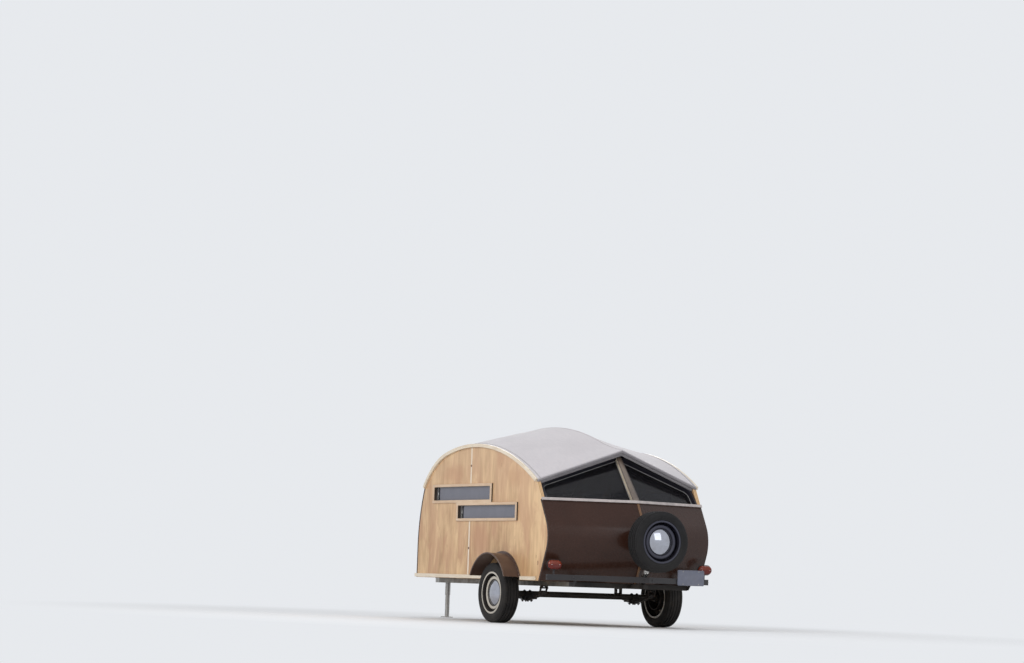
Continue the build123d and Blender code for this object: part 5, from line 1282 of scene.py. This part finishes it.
def makeRunningGear():
    springY = gearTrim["springY"]
    nuts = []
    for side in (1, -1):
        for dx in (-gearTrim["nutX"], gearTrim["nutX"]):
            for dy in (-gearTrim["nutY"], gearTrim["nutY"]):
                nuts.append(turnedAt((axleX + dx, side * springY + dy, gearTrim["nutZ"]), (0, 0, -1),
                                     [(0.0098, 0), (0.0098, 0.0075), (0.0088, 0.0086)], 6, dx * 9))
        for x, z in gearTrim["pins"]:
            nuts += [boltAt((axleX + x, side * springY + end * gearTrim["pinOut"], z), (0, end, 0), 0.0105, 0.009, x)
                     for end in (1, -1)]
    makePiece("springNuts", *gather(nuts), "blackSteel", slot="black_steel")
    x = gearTrim["clipX"]
    z = gearTrim["clipZ"] + 0.19 * x * x * 1.9 - 0.0105  # the spring's rise at the clip
    clips = [blockAt((axleX + end * x, side * springY, z), (0, 1, 0), (1, 0, 0), (0.058, 0.018, 0.027))
             for side in (1, -1) for end in (-1, 1)]
    makePiece("springClips", *gather(clips), "blackSteel", slot="black_steel")
    y, low, high = gearTrim["railBeads"]
    beads = []
    for side in (1, -1):
        beads += [weldBead([(axleX + x, side * across, z) for x, across, z in bead], gearTrim["bead"])
                  for bead in gearTrim["beads"]]
        for x in gearTrim["crossMembers"]:
            for dx in (-gearTrim["memberHalf"], gearTrim["memberHalf"]):
                beads.append(weldBead([(axleX + x + dx, side * y, z) for z in (low, high)], gearTrim["railBead"]))
    makePiece("weldBeads", *gather(beads), "galvanised", slot="frame_metal")
    coupling = [boltAt((axleX + x, side * 0.026, 0.4760), (0, 0, 1), 0.0085, 0.008, x)
                for x in (3.098, 3.128) for side in (1, -1)]
    coupling += [boltAt((axleX + 3.01 + 0.042 * math.cos(a), 0.042 * math.sin(a), 0.446), (0, 0, 1), 0.006, 0.005, a)
                 for a in (0.8, 2.35, 3.95, 5.5)]
    makePiece("couplerBolts", *gather(coupling), "zinc", slot="bare_steel")
    x, z = gearTrim["grip"]
    ribs = [(0.0152 if k % 2 else 0.0166, gearTrim["firstRib"] + gearTrim["ribStep"] * k)
            for k in range(gearTrim["ribs"])]
    rows = [(0.0140, 0.0815), *ribs, (0.0162, 0.1712), (0.0120, 0.1735), (0.0, 0.1740)]
    makePiece("crankGrip", *turnedAt((axleX + x, 0, z), (0, 1, 0), rows, 24), "gripRubber", slot="tyre_rubber")
    up = gearTrim["valveUp"]
    for side, word in leftRight:
        root = Vector((axleX + up, side * 0.962, hubZ + 0.020))
        makeValve(word, root, (-0.008, side * 0.016, 0), (-0.017, side * 0.030, 0), word.lower() + "_road_wheel")
    makeValve("Spare", spareAt + Vector((-0.018, 0.020, up)), (-0.016, 0, -0.008), (-0.030, 0, -0.017), "trailer")


makeRunningGear()
print("bumper, lamps, plate and running gear trimmed")


# door: seal round the opening, keyhole, screws of hinges and handle

doorTrim = {"rear": 0.440, "front": 1.060, "foot": 0.500, "head": 1.560, "corner": 0.110, "inset": 0.0014,
            "sealY": -0.8985, "seal": 0.0016, "handle": (0.492, -0.916), "handleScrews": (0.905, 1.000),
            "keyhole": 0.930, "hinges": (0.640, 1.370), "hingeFace": -0.913, "hingeScrew": (0.0032, 0.0015),
            "doorLeaf": (1.023, 1.040), "wallLeaf": (1.075, 1.092), "leafScrew": 0.0265}


def makeDoorTrim():
    rear, front, foot, head = (doorTrim[key] for key in ("rear", "front", "foot", "head"))
    inset = doorTrim["inset"]
    ring = roundedRing(axleX + (rear + front) / 2, (foot + head) / 2, front - rear - 2 * inset,
                       head - foot - 2 * inset, doorTrim["corner"] - inset, 12)
    path = [(x, doorTrim["sealY"], z) for x, z in ring]
    makePiece("doorSeal", *tubeAlong(path, doorTrim["seal"], 8, closed=True), "seal", slot="tyre_rubber")
    x, y = doorTrim["handle"]
    outward = (0, -1, 0)
    heads = [screwAt((axleX + x, y, z), outward, 0.0034) for z in doorTrim["handleScrews"]]
    rows = [(0.0095, -0.001), (0.0095, 0.0025), (0.0085, 0.0038), (0.0030, 0.0038), (0.0026, 0.0008), (0, 0.0008)]
    heads.append(turnedAt((axleX + x, y, doorTrim["keyhole"]), outward, rows, 20))
    makePiece("handleFittings", *gather(heads), "alloy", body="side_door", slot="bare_steel")

    def leafScrews(xs, shifts):
        return [screwAt((axleX + x, doorTrim["hingeFace"], z + dz), outward, *doorTrim["hingeScrew"])
                for z in doorTrim["hinges"] for dz in shifts for x in xs]

    onDoor = leafScrews(doorTrim["doorLeaf"], (-doorTrim["leafScrew"], doorTrim["leafScrew"]))
    makePiece("hingeScrewsDoor", *gather(onDoor), "alloy", body="side_door", slot="bare_steel")
    makePiece("hingeScrewsWall", *gather(leafScrews(doorTrim["wallLeaf"], (0.0,))), "alloy", slot="bare_steel")


makeDoorTrim()


# mattress: a foam pad in ticking, swollen by cloth pressure, piped and tufted

mattressTrim = {"shrink": 0.010, "corner": 0.055, "voxel": 0.013, "pressure": 4.0, "cap": 0.011, "frames": 20,
                "tufts": (5, 3), "dimple": 0.013, "dimpleReach": 0.045, "piping": 0.0055,
                "button": (0.012, 0.006), "quickSwell": 0.010}


def roundedBox(low, high, corner, inset):
    width, depth = high.x - low.x - 2 * inset, high.y - low.y - 2 * inset
    ring = roundedRing((low.x + high.x) / 2, (low.y + high.y) / 2, width, depth, corner, 10)
    middle, top = (low + high) / 2, high.z - inset
    rows = []
    for shrink, z in ((0.012, low.z + 0.002), (0.003, low.z + 0.005), (0.0, low.z + 0.014), (0.0, top - 0.012),
                      (0.003, top - 0.003), (0.012, top)):
        rows += [Vector((middle.x + (x - middle.x) * (1 - 2 * shrink / width),
                         middle.y + (y - middle.y) * (1 - 2 * shrink / depth), z)) for x, y in ring]
    return rows, ringFaces(6, len(ring))


def makeMattress():
    low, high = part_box("mattress")
    size, middle = high - low, (low + high) / 2
    shape = makePiece("mattressPad", *roundedBox(low, high, mattressTrim["corner"], mattressTrim["shrink"]), "ticking",
                      slot="bed_cloth", sharp=60)
    mesher = shape.modifiers.new("voxels", "REMESH")
    mesher.mode, mesher.voxel_size, mesher.use_smooth_shade = "VOXEL", mattressTrim["voxel"], True
    graph = bpy.context.evaluated_depsgraph_get()
    dense = bpy.data.meshes.new_from_object(shape.evaluated_get(graph))
    shape.modifiers.clear()
    shape.data = dense
    before = [v.co.copy() for v in dense.vertices]
    cloth = shape.modifiers.new("swelling", "CLOTH")
    cloth.settings.quality, cloth.settings.mass = 5, 0.3
    cloth.settings.use_pressure, cloth.settings.uniform_pressure_force = True, mattressTrim["pressure"]
    cloth.settings.effector_weights.gravity = 0
    cloth.settings.tension_stiffness = cloth.settings.compression_stiffness = 15
    cloth.point_cache.frame_start, cloth.point_cache.frame_end = 1, mattressTrim["frames"]
    for frameNumber in range(1, mattressTrim["frames"] + 1):
        bpy.context.scene.frame_set(frameNumber)
    graph = bpy.context.evaluated_depsgraph_get()
    swollen = bpy.data.meshes.new_from_object(shape.evaluated_get(graph))
    shape.modifiers.clear()
    bpy.context.scene.frame_set(1)
    shape.data = swollen
    for v, old in zip(swollen.vertices, before):
        move = v.co - old
        v.co = old + move * min(1.0, mattressTrim["cap"] / max(move.length, 1e-6))
        v.co.z = max(v.co.z, low.z + 0.0004)
    many, deep = mattressTrim["tufts"]
    tufts = [Vector((low.x + size.x * (i + 0.5) / many, low.y + size.y * (j + 0.5) / deep, high.z))
             for i in range(many) for j in range(deep)]
    for v in shape.data.vertices:
        if v.co.z > middle.z:
            near = min((v.co.xy - t.xy).length for t in tufts)
            dip = mattressTrim["dimple"] * math.exp(-(near / mattressTrim["dimpleReach"]) ** 2)
            v.co.z -= dip + 0.0012 * noise.noise(v.co * 9.0)
    shape.data.materials.clear()
    shape.data.materials.append(looks["ticking"])
    shape.data.polygons.foreach_set("use_smooth", [True] * len(shape.data.polygons))
    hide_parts("mattress")
    inset = mattressTrim["shrink"]
    ring = roundedRing(middle.x, middle.y, size.x - 2 * inset + 0.002, size.y - 2 * inset + 0.002,
                       mattressTrim["corner"], 10)
    edges = [tubeAlong([(x, y, z) for x, y in ring], mattressTrim["piping"], 10, closed=True)
             for z in (low.z + 0.013, high.z - inset - 0.009)]
    makePiece("mattressPiping", *gather(edges), "hemCanvas", slot="bed_cloth")
    radius, tall = mattressTrim["button"]
    buttons = []
    for tuft in tufts:
        top = max((v.co.z for v in shape.data.vertices if (v.co.xy - tuft.xy).length < radius), default=high.z)
        buttons.append(turnedAt((tuft.x, tuft.y, top - 0.002), (0, 0, 1), domeRows(radius, tall), 16))
    makePiece("mattressButtons", *gather(buttons), "hemCanvas", slot="bed_cloth")


makeMattress()
print("mattress", "swollen by cloth pressure")


# floor

def makeFloor():
    reach = studio["floorReach"]
    data = bpy.data.meshes.new("studioFloor")
    corners = [(-reach, -reach, 0), (reach, -reach, 0), (reach, reach, 0), (-reach, reach, 0)]
    data.from_pydata(corners, [], [(0, 1, 2, 3)])
    data.materials.append(looks["floor"])
    ground = bpy.data.objects.new("studioFloor", data)
    ground.location.z = -studio["floorDrop"]
    bpy.context.scene.collection.objects.link(ground)


makeFloor()
